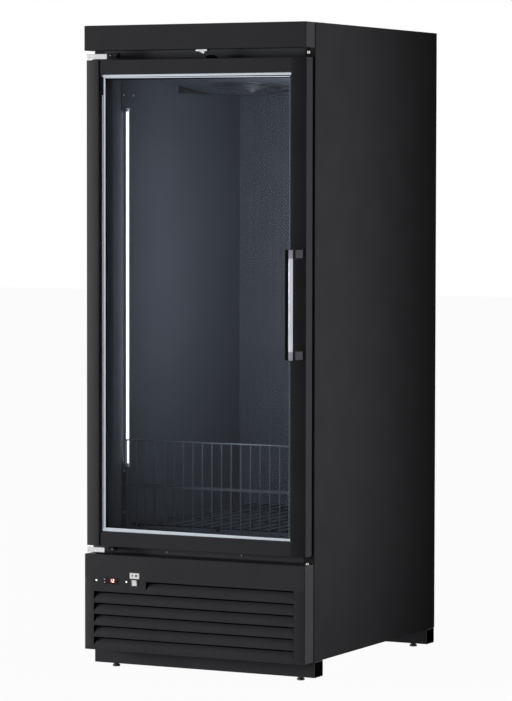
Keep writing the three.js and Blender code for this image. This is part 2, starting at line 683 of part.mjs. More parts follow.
// A flat bolt with a pointed end, which drops in front of the door's catch.
function lockBolt() {
  const shoulder = HEADER_Z - 8;
  const shape = outline([
    [LOCK_X - 9, HEADER_Z + 14], [LOCK_X - 9, shoulder], [LOCK_X + 5, shoulder - 6], [LOCK_X + 9, shoulder],
    [LOCK_X + 9, HEADER_Z + 14],
  ]);
  return lengthwise(shape, BOLT_Y);
}

piece('top_hinge_bracket', hingeBracket(DOOR_TOP + 9, -1), zinc);
piece('bottom_hinge_bracket', hingeBracket(DOOR_BOTTOM - 13, 1), zinc);
piece('lock_housing', lockHousing(), zinc);
piece('lock_bolt', lockBolt(), whitePlastic);

// ---- Door ----
const STILE_INNER = DOOR_HALF - STILE_WIDTH;
const GLASS_BACK = GLASS_FRONT + 2 * PANE + SPACER_GAP;
const GROOVE = [GLASS_FRONT - GAP, GLASS_BACK + GAP];
const CROWN = 3;                 // how far the rails lie behind the header's face
const STILE_FALL = 9;            // the stile's face falls back by this much to its outer edge

function stileProfile(side) {
  const shape = new THREE.Shape();
  const outer = side * DOOR_HALF;
  const inner = side * STILE_INNER;
  const groove = inner + side * (GLASS_BITE + GAP);
  const face = -FRONT_PROUD + 0.4;
  shape.moveTo(outer, DOOR_BACK);
  shape.lineTo(outer, face + STILE_FALL + 1);
  shape.quadraticCurveTo(outer, face + STILE_FALL, outer - side * 1.5, face + STILE_FALL - 0.4);
  shape.quadraticCurveTo(inner + side * 17, face, inner + side * 2, face);
  shape.quadraticCurveTo(inner, face, inner, face + 2);
  shape.lineTo(inner, GROOVE[0]);
  shape.lineTo(groove, GROOVE[0]);
  shape.lineTo(groove, GROOVE[1]);
  shape.lineTo(inner, GROOVE[1]);
  shape.lineTo(inner, DOOR_BACK);
  return shape;
}

function doorStile(side) {
  const bar = upright(stileProfile(side), [DOOR_BOTTOM, DOOR_TOP], 3);
  if (side > 0) return bar;
  const bite = PIN_BITE + 2;
  const lower = pivotRod(DOOR_BOTTOM - 1, DOOR_BOTTOM + bite, PIN_RADIUS + 0.4);
  const upper = pivotRod(DOOR_TOP - bite, DOOR_TOP + 1, PIN_RADIUS + 0.4);
  return cut(bar, lower, upper);
}

function doorRail(edge, inward) {
  const inner = edge + inward * RAIL_WIDTH;
  const groove = inner - inward * (GLASS_BITE + GAP);
  const face = -FRONT_PROUD + CROWN;
  const profile = outline([
    [DOOR_BACK, edge], [face, edge], [face, inner - inward * 2], [face + 2, inner], [GROOVE[0], inner],
    [GROOVE[0], groove], [GROOVE[1], groove], [GROOVE[1], inner], [DOOR_BACK, inner],
  ]);
  return crosswise(profile, [-STILE_INNER + GAP, STILE_INNER - GAP]);
}

const GLASS_HALF = STILE_INNER + GLASS_BITE;
const GLASS_Z = [DOOR_BOTTOM + RAIL_WIDTH - GLASS_BITE, DOOR_TOP - RAIL_WIDTH + GLASS_BITE];

function pane(front) {
  return block([-GLASS_HALF, GLASS_HALF], [front, front + PANE], GLASS_Z);
}

function border(half, z, width, y) {
  const outer = block([-half, half], y, z);
  const inner = block([-half + width, half - width], [y[0] - 1, y[1] + 1], [z[0] + width, z[1] - width]);
  return cut(outer, inner);
}

// It stops short at the hinge side, so that it swings clear of the cabinet.
const GASKET_X = [-362, 375];

function doorGasket() {
  const y = [DOOR_BACK + GAP, -0.5];
  const outer = block(GASKET_X, y, [DOOR_BOTTOM + 2, DOOR_TOP - 2]);
  return cut(outer, block([-337, 337], [y[0] - 1, y[1] + 1], [DOOR_BOTTOM + 32, DOOR_TOP - 32]));
}

function handleBar() {
  const y = [HANDLE_FRONT, HANDLE_FRONT + HANDLE_THICK];
  const bar = block(HANDLE_X, y, HANDLE_Z);
  const edges = HANDLE_X.map((x) => block(grown([x, x], 1.5), [y[0] - 1, y[0] + 1.5], grown(HANDLE_Z, 1)));
  return cut(bar, ...edges);
}

function handleFoot(z) {
  return block([HANDLE_X[0] + 2, HANDLE_X[1]], [HANDLE_FRONT + HANDLE_THICK + GAP, -FRONT_PROUD - GAP], z);
}

const CATCH = { x: [LOCK_X + 6, LOCK_X + 40], y: [-44, -24], height: 11 };

function lockCatch() {
  const shape = new THREE.Shape();
  shape.moveTo(CATCH.x[0], DOOR_TOP + GAP);
  shape.lineTo(CATCH.x[1], DOOR_TOP + GAP);
  const middle = (CATCH.x[0] + CATCH.x[1]) / 2;
  shape.quadraticCurveTo(CATCH.x[1] - 3, DOOR_TOP + CATCH.height, middle, DOOR_TOP + CATCH.height);
  shape.quadraticCurveTo(CATCH.x[0] + 3, DOOR_TOP + CATCH.height, CATCH.x[0], DOOR_TOP + GAP);
  return lengthwise(shape, CATCH.y);
}

piece('door_left_stile', doorStile(-1), blackPaint);
piece('door_right_stile', doorStile(1), blackPaint);
piece('door_top_rail', doorRail(DOOR_TOP, -1), blackPaint);
piece('door_bottom_rail', doorRail(DOOR_BOTTOM, 1), blackPaint);
piece('outer_glass', pane(GLASS_FRONT), glass);
piece('inner_glass', pane(GLASS_BACK - PANE), glass);
piece('glass_spacer', border(GLASS_HALF, GLASS_Z, GLASS_BITE + 11,
  [GLASS_FRONT + PANE + GAP, GLASS_BACK - PANE - GAP]), aluminium);
piece('door_gasket', doorGasket(), rubber);
piece('handle_bar', handleBar(), aluminium);
piece('handle_lower_foot', handleFoot([HANDLE_Z[0], HANDLE_Z[0] + HANDLE_FOOT]), blackPaint);
piece('handle_upper_foot', handleFoot([HANDLE_Z[1] - HANDLE_FOOT, HANDLE_Z[1]]), blackPaint);
piece('lock_catch', lockCatch(), rubber);

export default cabinet;
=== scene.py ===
# Looks of an upright ice merchandiser freezer with one glass door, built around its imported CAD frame.
# Metres, +Z up, +X to the right of someone facing the door, +Y towards the cabinet's back.
import math

import bpy
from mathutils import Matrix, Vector


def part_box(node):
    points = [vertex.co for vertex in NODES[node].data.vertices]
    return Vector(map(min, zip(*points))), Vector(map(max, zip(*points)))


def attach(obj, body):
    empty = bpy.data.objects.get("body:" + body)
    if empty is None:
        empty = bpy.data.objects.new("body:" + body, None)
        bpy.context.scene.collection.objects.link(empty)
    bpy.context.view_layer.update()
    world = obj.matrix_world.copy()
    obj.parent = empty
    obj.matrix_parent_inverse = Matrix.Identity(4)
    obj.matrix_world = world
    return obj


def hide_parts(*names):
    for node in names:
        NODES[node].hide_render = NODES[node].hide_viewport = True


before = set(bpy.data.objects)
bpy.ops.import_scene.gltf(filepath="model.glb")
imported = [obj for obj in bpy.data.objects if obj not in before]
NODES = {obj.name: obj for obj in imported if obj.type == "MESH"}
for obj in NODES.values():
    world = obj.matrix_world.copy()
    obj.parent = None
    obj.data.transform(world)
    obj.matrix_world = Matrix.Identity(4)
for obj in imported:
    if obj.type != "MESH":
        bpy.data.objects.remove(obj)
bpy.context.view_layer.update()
MM = 0.001

# ---- Places and sizes, many of them taken from the frame ----
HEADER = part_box("header_fascia")
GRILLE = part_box("front_grille")
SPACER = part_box("glass_spacer")
CABINET_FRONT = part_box("left_side_panel")[0][1]
SHEET = 1.2 * MM                         # folded steel sheet
SEAM = 7 * MM                            # shadow gap behind header and grille
NEAR = 0.1 * MM                          # a point this close to a plane counts as on it
OUT_FRONT, OUT_BACK = Vector((0, -1, 0)), Vector((0, 1, 0))
OUT_LEFT, OUT_RIGHT = Vector((-1, 0, 0)), Vector((1, 0, 0))
UP, DOWN = Vector((0, 0, 1)), Vector((0, 0, -1))


# ---- Modelling ----
def object_mode():
    if bpy.context.mode != "OBJECT":
        bpy.ops.object.mode_set(mode="OBJECT")


def only(*pieces):
    """Selects these pieces alone, the first one active."""
    object_mode()
    bpy.ops.object.select_all(action="DESELECT")
    for piece in pieces:
        piece.select_set(True)
    bpy.context.view_layer.objects.active = pieces[0]
    return pieces[0]


def settle(piece, name):
    """Names a piece and moves its place, turn and size into its mesh."""
    only(piece)
    bpy.ops.object.transform_apply(location=True, rotation=True, scale=True)
    piece.name = name
    return piece


def started(name):
    """Names the primitive that was just added."""
    return settle(bpy.context.object, name)


def block(name, low, high):
    only(NODES["header_fascia"])
    low, high = Vector(low), Vector(high)
    bpy.ops.mesh.primitive_cube_add(size=1, location=(low + high) / 2)
    bpy.context.object.scale = high - low
    return started(name)


def rod(name, start, end, radius, sides=16, bevel=0.0):
    start, end = Vector(start), Vector(end)
    along = end - start
    bpy.ops.mesh.primitive_cylinder_add(
        vertices=sides, radius=radius, depth=along.length, location=(start + end) / 2,
        rotation=along.to_track_quat("Z", "Y").to_euler())
    piece = started(name)
    return round_edges(piece, bevel, angle=60) if bevel else piece


def at(x, y, z):
    """A place given in millimetres, Y measured back from the cabinet's front plane."""
    return Vector((x * MM, CABINET_FRONT + y * MM, z * MM))


def slab(name, x, y, z):
    """A block between pairs of places in millimetres, each pair in any order."""
    x, y, z = sorted(x), sorted(y), sorted(z)
    return block(name, at(x[0], y[0], z[0]), at(x[1], y[1], z[1]))


def post(name, x, y, z, radius, sides=16, bevel=0.0):
    """An upright rod at a place in millimetres, between a pair of heights."""
    return rod(name, at(x, y, z[0]), at(x, y, z[1]), radius, sides, bevel)


def pick(piece, kind, test):
    """Opens a piece in edit mode with those faces, edges or vertices selected that pass the test."""
    only(piece)
    bpy.ops.object.mode_set(mode="EDIT")
    bpy.ops.mesh.select_mode(type=kind)
    bpy.ops.mesh.select_all(action="DESELECT")
    object_mode()
    points = piece.data.vertices
    if kind == "FACE":
        for face in piece.data.polygons:
            face.select = test(face.center, face.normal)
    elif kind == "EDGE":
        for edge in piece.data.edges:
            a, b = (points[index].co for index in edge.vertices)
            edge.select = test((a + b) / 2, (b - a).normalized())
    else:
        for point in points:
            point.select = test(point.co)
    bpy.ops.object.mode_set(mode="EDIT")


def modify(piece, kind, **settings):
    """Adds a modifier and applies it."""
    only(piece)
    modifier = piece.modifiers.new(kind.lower(), kind)
    for key, value in settings.items():
        setattr(modifier, key, value)
    bpy.ops.object.modifier_apply(modifier=modifier.name)
    return piece


def round_edges(piece, width, segments=2, angle=40):
    return modify(piece, "BEVEL", width=width, segments=segments, limit_method="ANGLE",
                  angle_limit=math.radians(angle))


def carve(piece, *cutters):
    for cutter in cutters:
        modify(piece, "BOOLEAN", object=cutter, operation="DIFFERENCE", solver="EXACT")
        bpy.data.objects.remove(cutter)
    return piece


def join(name, parts):
    only(*parts)
    bpy.ops.object.join()
    parts[0].name = name
    return parts[0]


def copy_of(piece, name, move=(0, 0, 0)):
    twin = piece.copy()
    twin.data = piece.data.copy()
    bpy.context.collection.objects.link(twin)
    twin.location = Vector(move)
    return settle(twin, name)


def cut_planes(piece, axis, places, test=lambda centre, facing: True):
    """Cuts the faces of a piece that pass the test at each place along an axis."""
    normal = [0, 0, 0]
    normal[axis] = 1
    for place in places:
        pick(piece, "FACE", test)
        point = [0, 0, 0]
        point[axis] = place
        bpy.ops.mesh.bisect(plane_co=point, plane_no=normal)
    object_mode()


def delete_faces(piece, test):
    pick(piece, "FACE", test)
    bpy.ops.mesh.delete(type="FACE")
    object_mode()


def folded_sheet(name, low, high, open_sides, radius=1.6 * MM, thickness=SHEET):
    """A box of thin sheet with rounded folds and some sides left open."""
    piece = block(name, low, high)
    delete_faces(piece, lambda centre, facing: any(facing.dot(side) > 0.9 for side in open_sides))
    round_folds(piece, radius)
    return thicken(piece, thickness)


def round_folds(piece, radius):
    pick(piece, "EDGE", lambda centre, along: False)
    bpy.ops.mesh.edges_select_sharp(sharpness=math.radians(60))
    bpy.ops.mesh.bevel(offset=radius, segments=3, affect="EDGES")
    object_mode()


def thicken(piece, thickness):
    return modify(piece, "SOLIDIFY", thickness=thickness, offset=-1, use_even_offset=True)


def done(piece, body, material, slot, *nodes, angle=35):
    """Hands a finished piece over: smooth faces, material, what it moves with and what it stands for."""
    only(piece)
    bpy.ops.object.shade_smooth_by_angle(angle=math.radians(angle))
    modify(piece, "WEIGHTED_NORMAL", keep_sharp=True, weight=100)
    piece.data.materials.clear()
    piece.data.materials.append(material)
    if nodes:
        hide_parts(*nodes)
    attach(piece, body)
    return piece


def dress(material, *nodes):
    """Gives CAD nodes that stay as they are their material."""
    for node in nodes:
        NODES[node].data.materials.clear()
        NODES[node].data.materials.append(material)


# ---- Materials ----
def linear(code):
    """The linear colour of an sRGB hex value such as 0x2B2B2D."""
    parts = [(code >> shift & 255) / 255 for shift in (16, 8, 0)]
    return (*[c / 12.92 if c <= 0.04045 else ((c + 0.055) / 1.055) ** 2.4 for c in parts], 1)


def put(tree, kind, inputs=None, **settings):
    """Adds a node with its settings. An input is a value, or the output that feeds it."""
    node = tree.nodes.new("ShaderNode" + kind)
    for key, value in settings.items():
        setattr(node, key, value)
    for key, value in (inputs or {}).items():
        if isinstance(value, bpy.types.NodeSocket):
            tree.links.new(value, node.inputs[key])
        else:
            node.inputs[key].default_value = value
    return node


def bare_material(name):
    made = bpy.data.materials.new(name)
    made.use_nodes = True
    made.node_tree.nodes.clear()
    return made, made.node_tree


def uneven(tree, scale, low, high):
    """A value that wanders between low and high, with about scale patches to the metre."""
    noise = put(tree, "TexNoise", {"Vector": put(tree, "TexCoord").outputs["Object"], "Scale": scale})
    return put(tree, "MapRange", {"Value": noise.outputs["Fac"], "To Min": low, "To Max": high}).outputs[0]


def surface(name, colours, roughness, grain, depth, stretch=(1, 1, 1), cells=False, blotch=0.12,
            specular=0.5, metallic=0.0):
    """A material whose colour and roughness wander over blotch metres, with a bump of the given grain.

    The bump is noise, or crystals where cells is true. A stretch below 1 draws it out along that axis.
    """
    made, tree = bare_material(name)
    place = put(tree, "TexCoord").outputs["Object"]
    drawn = put(tree, "Mapping", {"Vector": place, "Scale": stretch}).outputs["Vector"]
    wander = put(tree, "TexNoise", {"Vector": place, "Scale": 1 / blotch, "Detail": 3.0}).outputs["Fac"]
    fine_node = put(tree, "TexVoronoi" if cells else "TexNoise", {"Vector": drawn, "Scale": 1 / grain})
    fine = fine_node.outputs["Distance" if cells else "Fac"]
    mixed = put(tree, "Math", {0: wander, 1: fine}, operation="ADD").outputs[0]
    mean = put(tree, "Math", {0: mixed, 1: 0.5}, operation="MULTIPLY").outputs[0]
    colour = put(tree, "ValToRGB", {"Fac": mean})
    for end, position, code in zip(colour.color_ramp.elements, (0.3, 0.7), colours):
        end.position, end.color = position, linear(code)
    rough = put(tree, "MapRange", {"Value": mixed, "From Min": 0.6, "From Max": 1.4, "To Min": roughness[0],
                                   "To Max": roughness[1]}).outputs[0]
    bump = put(tree, "Bump", {"Height": fine, "Distance": depth, "Strength": 1.0}).outputs[0]
    shaded = put(tree, "BsdfPrincipled", {
        "Base Color": colour.outputs["Color"], "Roughness": rough, "Normal": bump,
        "Specular IOR Level": specular, "Metallic": metallic})
    put(tree, "OutputMaterial", {"Surface": shaded.outputs["BSDF"]})
    return made


# Each finish has its dark and light colour, its lowest and highest roughness, its grain and that
# grain's depth.
# Baked powder coat on steel: near black with a soft sheen and the fine ripple of orange peel, 2 mm across.
powder_coat = surface("powder_coated_steel", (0x2A292C, 0x302F32), (0.4, 0.48), 2 * MM, 0.02 * MM,
                      specular=0.06)
# The same coat on the grille and the base rails, drawn a shade lighter: painted light that brightens these
# low parts, the rails lying in shade under the grille.
lightened_coat = surface("powder_coat_painted_light", (0x2F2E31, 0x353437), (0.4, 0.48), 2 * MM, 0.02 * MM,
                      specular=0.06)
# The same coat on the broad sides, matt: they show almost no reflection, only the lamps' falloff.
matt_coat = surface("matt_powder_coat", (0x313032, 0x373638), (0.6, 0.7), 2 * MM, 0.02 * MM, specular=0.0)
# Black anodised aluminium extrusions: a silkier black than the coat's, with drawn lines along the bar.
anodised_upright = surface("black_anodised_upright", (0x2B2B2D, 0x313133), (0.4, 0.5), 1.2 * MM, 0.006 * MM,
                           stretch=(1, 1, 0.02), specular=0.03)
anodised_level = surface("black_anodised_level", (0x303032, 0x363638), (0.4, 0.48), 1.2 * MM, 0.006 * MM,
                         stretch=(0.02, 1, 1), specular=0.03)
# Clear anodised aluminium: pale satin metal with faint brushing along its length.
satin_upright = surface("clear_anodised_upright", (0xAEB0BA, 0xC4C5CE), (0.26, 0.36), 0.9 * MM, 0.004 * MM,
                        stretch=(1, 1, 0.015), metallic=1.0)
# Silver stoving paint on steel: pale, a little metallic.
silver_paint = surface("silver_stoving_paint", (0xDCDEE2, 0xE8EAEE), (0.3, 0.4), 2 * MM, 0.01 * MM,
                       metallic=0.15)
# Dark grey copy of the face frame's stoving paint, above and below the door: painted shade that darkens the
# gaps there.
shaded_frame_paint = surface("frame_paint_painted_shade", (0x424347, 0x494A4E), (0.5, 0.6), 2 * MM, 0.02 * MM,
                     specular=0.05)
# Pale copy of the same stoving paint on the sides of the face frame: painted light; the left one shows
# through the door's glass.
lit_frame_paint = surface("frame_paint_painted_light", (0x9C9EA5, 0xA8AAB0), (0.5, 0.6), 2 * MM, 0.02 * MM,
                     specular=0.05)
# Grey anodised spacer profile, dull.
spacer_grey = surface("grey_anodised_spacer", (0x4A4C54, 0x565860), (0.45, 0.55), 1.2 * MM, 0.01 * MM,
                      specular=0.1)
# Polished aluminium, laid as strips where the spacer's highlights fall: it shows the pale room as an even
# bright line, a real reflection placed as painted highlight.
highlight_aluminium = surface("polished_aluminium_painted_highlight", (0xF2F3F5, 0xFBFBFC), (0.2, 0.28), 2 * MM, 0.003 * MM,
                          metallic=1.0)
# Grey moulded PVC of the breaker strips round the door opening.
breaker_grey = surface("moulded_pvc_grey", (0x585A61, 0x64666D), (0.45, 0.55), 1.5 * MM, 0.01 * MM,
                       specular=0.1)
# Pale grey moulded plastic of the controller's keys.
key_grey = surface("moulded_key_grey", (0xC4C2CC, 0xD2D0D8), (0.35, 0.45), 1.5 * MM, 0.01 * MM)
# Zinc plated steel: bright grey with cloudy patches.
zinc = surface("zinc_plated_steel", (0xBFC3C8, 0xD6D8DC), (0.22, 0.34), 3 * MM, 0.01 * MM, blotch=0.015,
               metallic=1.0)
# Black anodised aluminium of the handle's bar: darker and more matt than the door's frame.
handle_black = surface("black_anodised_handle", (0x0B0B0C, 0x101011), (0.5, 0.6), 1.2 * MM, 0.006 * MM,
                       stretch=(1, 1, 0.02), specular=0.02)
# Blackened steel of the levelling feet: worn to a warm grey.
foot_steel = surface("blackened_steel", (0x55544C, 0x6A695F), (0.4, 0.5), 2 * MM, 0.01 * MM, specular=0.1)
# Epoxy coated wire: dark grey, smooth, with a soft line of light along it.
coated_wire = surface("epoxy_coated_wire", (0x303237, 0x3A3C41), (0.3, 0.4), 2 * MM, 0.01 * MM, specular=0.3)
# The same coating in a mid grey on the fence.
fence_wire = surface("epoxy_coated_fence_wire", (0x74767C, 0x808288), (0.35, 0.45), 2 * MM, 0.01 * MM,
                     specular=0.2)
# Hot dip galvanised sheet: dull grey crystals 12 mm across.
galvanised = surface("galvanised_sheet", (0x8A9094, 0xA9AEB1), (0.34, 0.5), 12 * MM, 0.01 * MM, cells=True,
                     metallic=0.9)
# Coil-coated lining sheet: slate grey, smooth, slightly glossy.
lining = surface("coil_coated_lining", (0x3D4047, 0x464950), (0.34, 0.44), 4 * MM, 0.015 * MM, specular=0.2)
# Moulded ABS with a spark-eroded grain of 0.8 mm.
abs_black = surface("moulded_abs_black", (0x19191B, 0x202022), (0.44, 0.56), 0.8 * MM, 0.02 * MM)
# Polished ABS: white, smooth, with an even soft gloss.
abs_white = surface("moulded_abs_white", (0xE9E9E6, 0xF4F4F2), (0.3, 0.4), 2 * MM, 0.004 * MM)
# Smoked polycarbonate over the display: a very dark red-brown, clear-cut but with a weak reflection.
smoked = surface("smoked_polycarbonate", (0x281819, 0x311E20), (0.06, 0.1), 6 * MM, 0.002 * MM, specular=0.12)
# EPDM rubber: black and matt, with no reflection.
rubber = surface("epdm_rubber", (0x050506, 0x0A0A0B), (0.7, 0.85), 1.5 * MM, 0.03 * MM, specular=0.0)
# Rigid polyurethane foam: pale yellow, cellular.
foam = surface("polyurethane_foam", (0xCDBB88, 0xE0D2A4), (0.85, 0.95), 3 * MM, 0.3 * MM)
# Zinc castings under the handle's ends and the hinges' flanges: painted dark grey, slightly rough.
cast_grey = surface("painted_zinc_casting", (0x2C2C2E, 0x3A3A3C), (0.45, 0.6), 1.5 * MM, 0.03 * MM,
                    specular=0.1)
# Handle end caps: grey lilac moulded plastic beside the silver inlay.
cap_grey = surface("moulded_cap_grey", (0x8C8A98, 0x9B99A6), (0.35, 0.45), 1.5 * MM, 0.01 * MM)
# Aluminium fin stock: pale metal in edge-on plates about 2 mm apart, drawn 4 mm apart so that they show.
fin_stock = surface("aluminium_fin_stock", (0x55585B, 0x8A8D90), (0.4, 0.55), 4 * MM, 0.6 * MM,
                    stretch=(1, 0.01, 0.01), metallic=0.9)
# The condenser's fins, drawn black as painted shade so that the louvres' gaps look dark.
shade_black_fins = surface("fins_drawn_black_as_shade", (0x0A0A0B, 0x161617), (0.6, 0.7), 4 * MM, 0.6 * MM,
                     stretch=(1, 0.01, 0.01), specular=0.02)
# Black ink of the two marks on the switch's label: dull, with no grain to speak of.
ink = surface("black_ink", (0x1A1A1A, 0x242424), (0.5, 0.6), 1 * MM, 0.002 * MM)


def glass_material():
    """Clear float glass: it lets light through with a faint grey, under a weak sharp mirror."""
    made, tree = bare_material("float_glass")
    mirror = put(tree, "BsdfPrincipled", {
        "Base Color": linear(0x0A0C0D), "Metallic": 0.0, "Roughness": uneven(tree, 9.0, 0.01, 0.05),
        "Specular IOR Level": 0.5})
    clear = put(tree, "BsdfTransparent", {"Color": linear(0xF6F8FA)})
    mix = put(tree, "MixShader", {0: 0.06, 1: clear.outputs["BSDF"], 2: mirror.outputs["BSDF"]})
    put(tree, "OutputMaterial", {"Surface": mix.outputs["Shader"]})
    return made


def glowing(name, colour, strength, roughness=0.4):
    """Plastic with light of its own, its gloss slightly uneven."""
    made, tree = bare_material(name)
    shaded = put(tree, "BsdfPrincipled", {
        "Base Color": linear(colour), "Roughness": uneven(tree, 60.0, roughness, roughness + 0.1),
        "Emission Color": linear(colour), "Emission Strength": strength})
    put(tree, "OutputMaterial", {"Surface": shaded.outputs["BSDF"]})
    return made


clear_glass = glass_material()
# Opal acrylic over white light-emitting diodes: evenly white.
diffuser = glowing("opal_acrylic", 0xF4F7FF, 4.0)
# Red seven-segment display: burnt out to a pale red.
display_red = glowing("display_segments", 0xFFC9C4, 2.2)

# ---- Stage, lamps and camera ----
CAMERA_PLACE = (4.8215, -9.5669, 1.5370)
CAMERA_YAW, CAMERA_PITCH, CAMERA_ROLL = (math.radians(turn) for turn in (26.81, -2.974, 0.091))
CAMERA_LENS, CAMERA_SENSOR = 173.99, 36  # millimetres
ROOM_LIGHT = 0.12                        # strength of the room's own light on the object
FLOOR_WHITE = 0.96                       # share of plain white in the floor where it shows as background


def make_camera():
    level = math.cos(CAMERA_PITCH)
    aim = Vector((-math.sin(CAMERA_YAW) * level, math.cos(CAMERA_YAW) * level, math.sin(CAMERA_PITCH)))
    data = bpy.data.cameras.new("camera")
    data.lens = CAMERA_LENS
    data.sensor_width = CAMERA_SENSOR
    data.clip_end = 100
    camera = bpy.data.objects.new("camera", data)
    bpy.context.collection.objects.link(camera)
    camera.location = CAMERA_PLACE
    camera.rotation_euler = aim.to_track_quat("-Z", "Y").to_euler()
    camera.rotation_euler.rotate_axis("Z", CAMERA_ROLL)
    bpy.context.scene.camera = camera


def background_share(tree):
    """1 for rays that show the background: from the camera, off gloss and through glass."""
    path = put(tree, "LightPath")
    seen = put(tree, "Math", {0: path.outputs["Is Camera Ray"], 1: path.outputs["Is Glossy Ray"]},
               operation="MAXIMUM")
    return put(tree, "Math", {0: seen.outputs[0], 1: path.outputs["Is Transmission Ray"]},
               operation="MAXIMUM").outputs[0]


def make_world():
    world = bpy.data.worlds.new("studio")
    bpy.context.scene.world = world
    world.use_nodes = True
    tree = world.node_tree
    tree.nodes.clear()
    shown = put(tree, "Background", {"Color": (1, 1, 1, 1), "Strength": 1.0})
    light = put(tree, "Background", {"Color": linear(0xF4F6FA), "Strength": ROOM_LIGHT})
    mix = put(tree, "MixShader", {0: background_share(tree), 1: light.outputs[0], 2: shown.outputs[0]})
    put(tree, "OutputWorld", {"Surface": mix.outputs[0]})


def make_floor():
    """A pale matt floor just below the feet, 60 m across so that its edge is never near."""
    only(NODES["header_fascia"])
    bpy.ops.mesh.primitive_plane_add(size=60, location=(0, 0, -0.5 * MM))
    floor = started("floor")
    made, tree = bare_material("pale_floor")
    body = put(tree, "BsdfPrincipled", {
        "Base Color": linear(0xF4F4F4), "Roughness": uneven(tree, 8.0, 0.8, 0.95), "Specular IOR Level": 0.1})
    white = put(tree, "Emission", {"Color": (1, 1, 1, 1), "Strength": 1.0})
    share = put(tree, "Math", {0: background_share(tree), 1: FLOOR_WHITE}, operation="MULTIPLY")
    mix = put(tree, "MixShader", {0: share.outputs[0], 1: body.outputs["BSDF"], 2: white.outputs[0]})
    put(tree, "OutputMaterial", {"Surface": mix.outputs[0]})
    floor.data.materials.append(made)


def softbox(name, place, aim, size, power, grid=180):
    """A rectangular lamp. Its grid holds the light inside that many degrees."""
    data = bpy.data.lights.new(name, "AREA")
    data.shape = "RECTANGLE"
    data.size, data.size_y = size
    data.energy = power
    data.spread = math.radians(grid)
    lamp = bpy.data.objects.new(name, data)
    bpy.context.collection.objects.link(lamp)
    lamp.location = place
    lamp.rotation_euler = (Vector(aim) - Vector(place)).to_track_quat("-Z", "Y").to_euler()


make_camera()
make_world()
make_floor()
# A broad lamp for the front, a narrow one inside the cabin, and a weak one at the right for the door's edge.
softbox("left_softbox", place=(-8.5, -4.0, 0.7), aim=(0, -0.45, 1.0), size=(2.4, 3.0), power=1450)
softbox("cabin_softbox", place=(0.17, -0.34, 1.30), aim=(0.06, 0.46, 1.30), size=(0.10, 1.04), power=13)
softbox("right_softbox", place=(1.7, -0.1, 1.0), aim=(0.38, -0.45, 1.0), size=(0.4, 3.0), power=10.6, grid=90)


# ---- Screws ----
def screw_template():
    """A pan head screw, 7 mm across, with a cross recess. It faces up, and copies are turned into place."""
    only(NODES["header_fascia"])
    bpy.ops.mesh.primitive_uv_sphere_add(segments=20, ring_count=10, radius=3.5 * MM)
    head = started("screw_template")
    delete_faces(head, lambda centre, facing: centre.z < 0)
    pick(head, "EDGE", lambda centre, along: abs(centre.z) < 0.01 * MM)
    bpy.ops.mesh.edge_face_add()
    pick(head, "VERT", lambda place: True)
    bpy.ops.transform.resize(value=(1, 1, 0.62))
    object_mode()
    arm, half_width, recess_floor, above = 2.0 * MM, 0.45 * MM, 1.1 * MM, 4 * MM
    one = block("recess_one", (-arm, -half_width, recess_floor), (arm, half_width, above))
    two = block("recess_two", (-half_width, -arm, recess_floor), (half_width, arm, above))
    return carve(head, one, two)


SCREW = screw_template()
screws = {}


def screw(body, place, facing, scale=1.0, spin=0.3):
    """Puts a copy of the screw head on a surface, turned by spin radians about its own axis."""
    head = SCREW.copy()
    head.data = SCREW.data.copy()
    bpy.context.collection.objects.link(head)
    head.scale = (scale,) * 3
    head.rotation_euler = facing.to_track_quat("Z", "Y").to_euler()
    head.rotation_euler.rotate_axis("Z", spin)
    head.location = place
    settle(head, "screw")
    screws.setdefault(body, []).append(head)


# ---- Cabinet shell ----
SIDE_FOLD, HEADER_FOLD = 3.5 * MM, 2.2 * MM  # radius of the sheets' folds
BOLT_X, BOLT_Y = (13.6, 32.4), (-52.4, -47.6)  # the passage of the lock's bolt, in millimetres
BASE_LIP, BASE_TOP = 1.4 * MM, 362.9 * MM  # how far the base sheet stands proud, and its upper edge

for word, inner in (("left", OUT_RIGHT), ("right", OUT_LEFT)):
    low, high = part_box(word + "_side_panel")
    panel = folded_sheet(word + "_side_sheet", low, high, [inner, UP, DOWN], SIDE_FOLD)
    done(panel, "cabinet", matt_coat, "black_paint", word + "_side_panel")

low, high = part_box("top_panel")
top = folded_sheet("top_sheet", low, high, [DOWN, OUT_LEFT, OUT_RIGHT])
done(top, "cabinet", powder_coat, "black_paint", "top_panel")

low, high = HEADER
header = folded_sheet("header_shell", low, (high.x, high.y - SEAM, high.z), [OUT_BACK], HEADER_FOLD)
carve(header, slab("bolt_slot", BOLT_X, BOLT_Y, (1915, 1920)))
done(header, "cabinet", powder_coat, "black_paint", "header_fascia")

low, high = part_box("cabin_base_panel")
base = folded_sheet("base_sheet", (low.x, low.y - BASE_LIP, low.z), (high.x, high.y, BASE_TOP),
                    [UP, OUT_BACK, OUT_LEFT, OUT_RIGHT])
done(base, "cabinet", powder_coat, "black_paint", "cabin_base_panel")

dress(powder_coat, "back_panel", "rear_machine_cover")
# The face frame's sides take the pale, lit copy of its paint, and its top and bottom take the dark, shaded
# copy: painted light and shade.
dress(lit_frame_paint, "face_frame_left", "face_frame_right")
dress(shaded_frame_paint, "face_frame_top", "face_frame_bottom")
dress(galvanised, "machine_tray", "condenser_fan_shroud")
dress(foam, "insulation_foam")
dress(lining, "liner_left", "liner_right", "liner_ceiling", "liner_floor")
dress(abs_black, "power_cord_gland", "condenser_fan_blade", "condensate_pan", "evaporator_fan_blade")
# The condenser coil behind the louvres is drawn black: painted shade.
dress(shade_black_fins, "condenser_coil")
dress(fin_stock, "evaporator_coil")
dress(powder_coat, "compressor")
dress(zinc, "lock_bolt")
dress(rubber, "lock_catch")
dress(clear_glass, "outer_glass", "inner_glass")

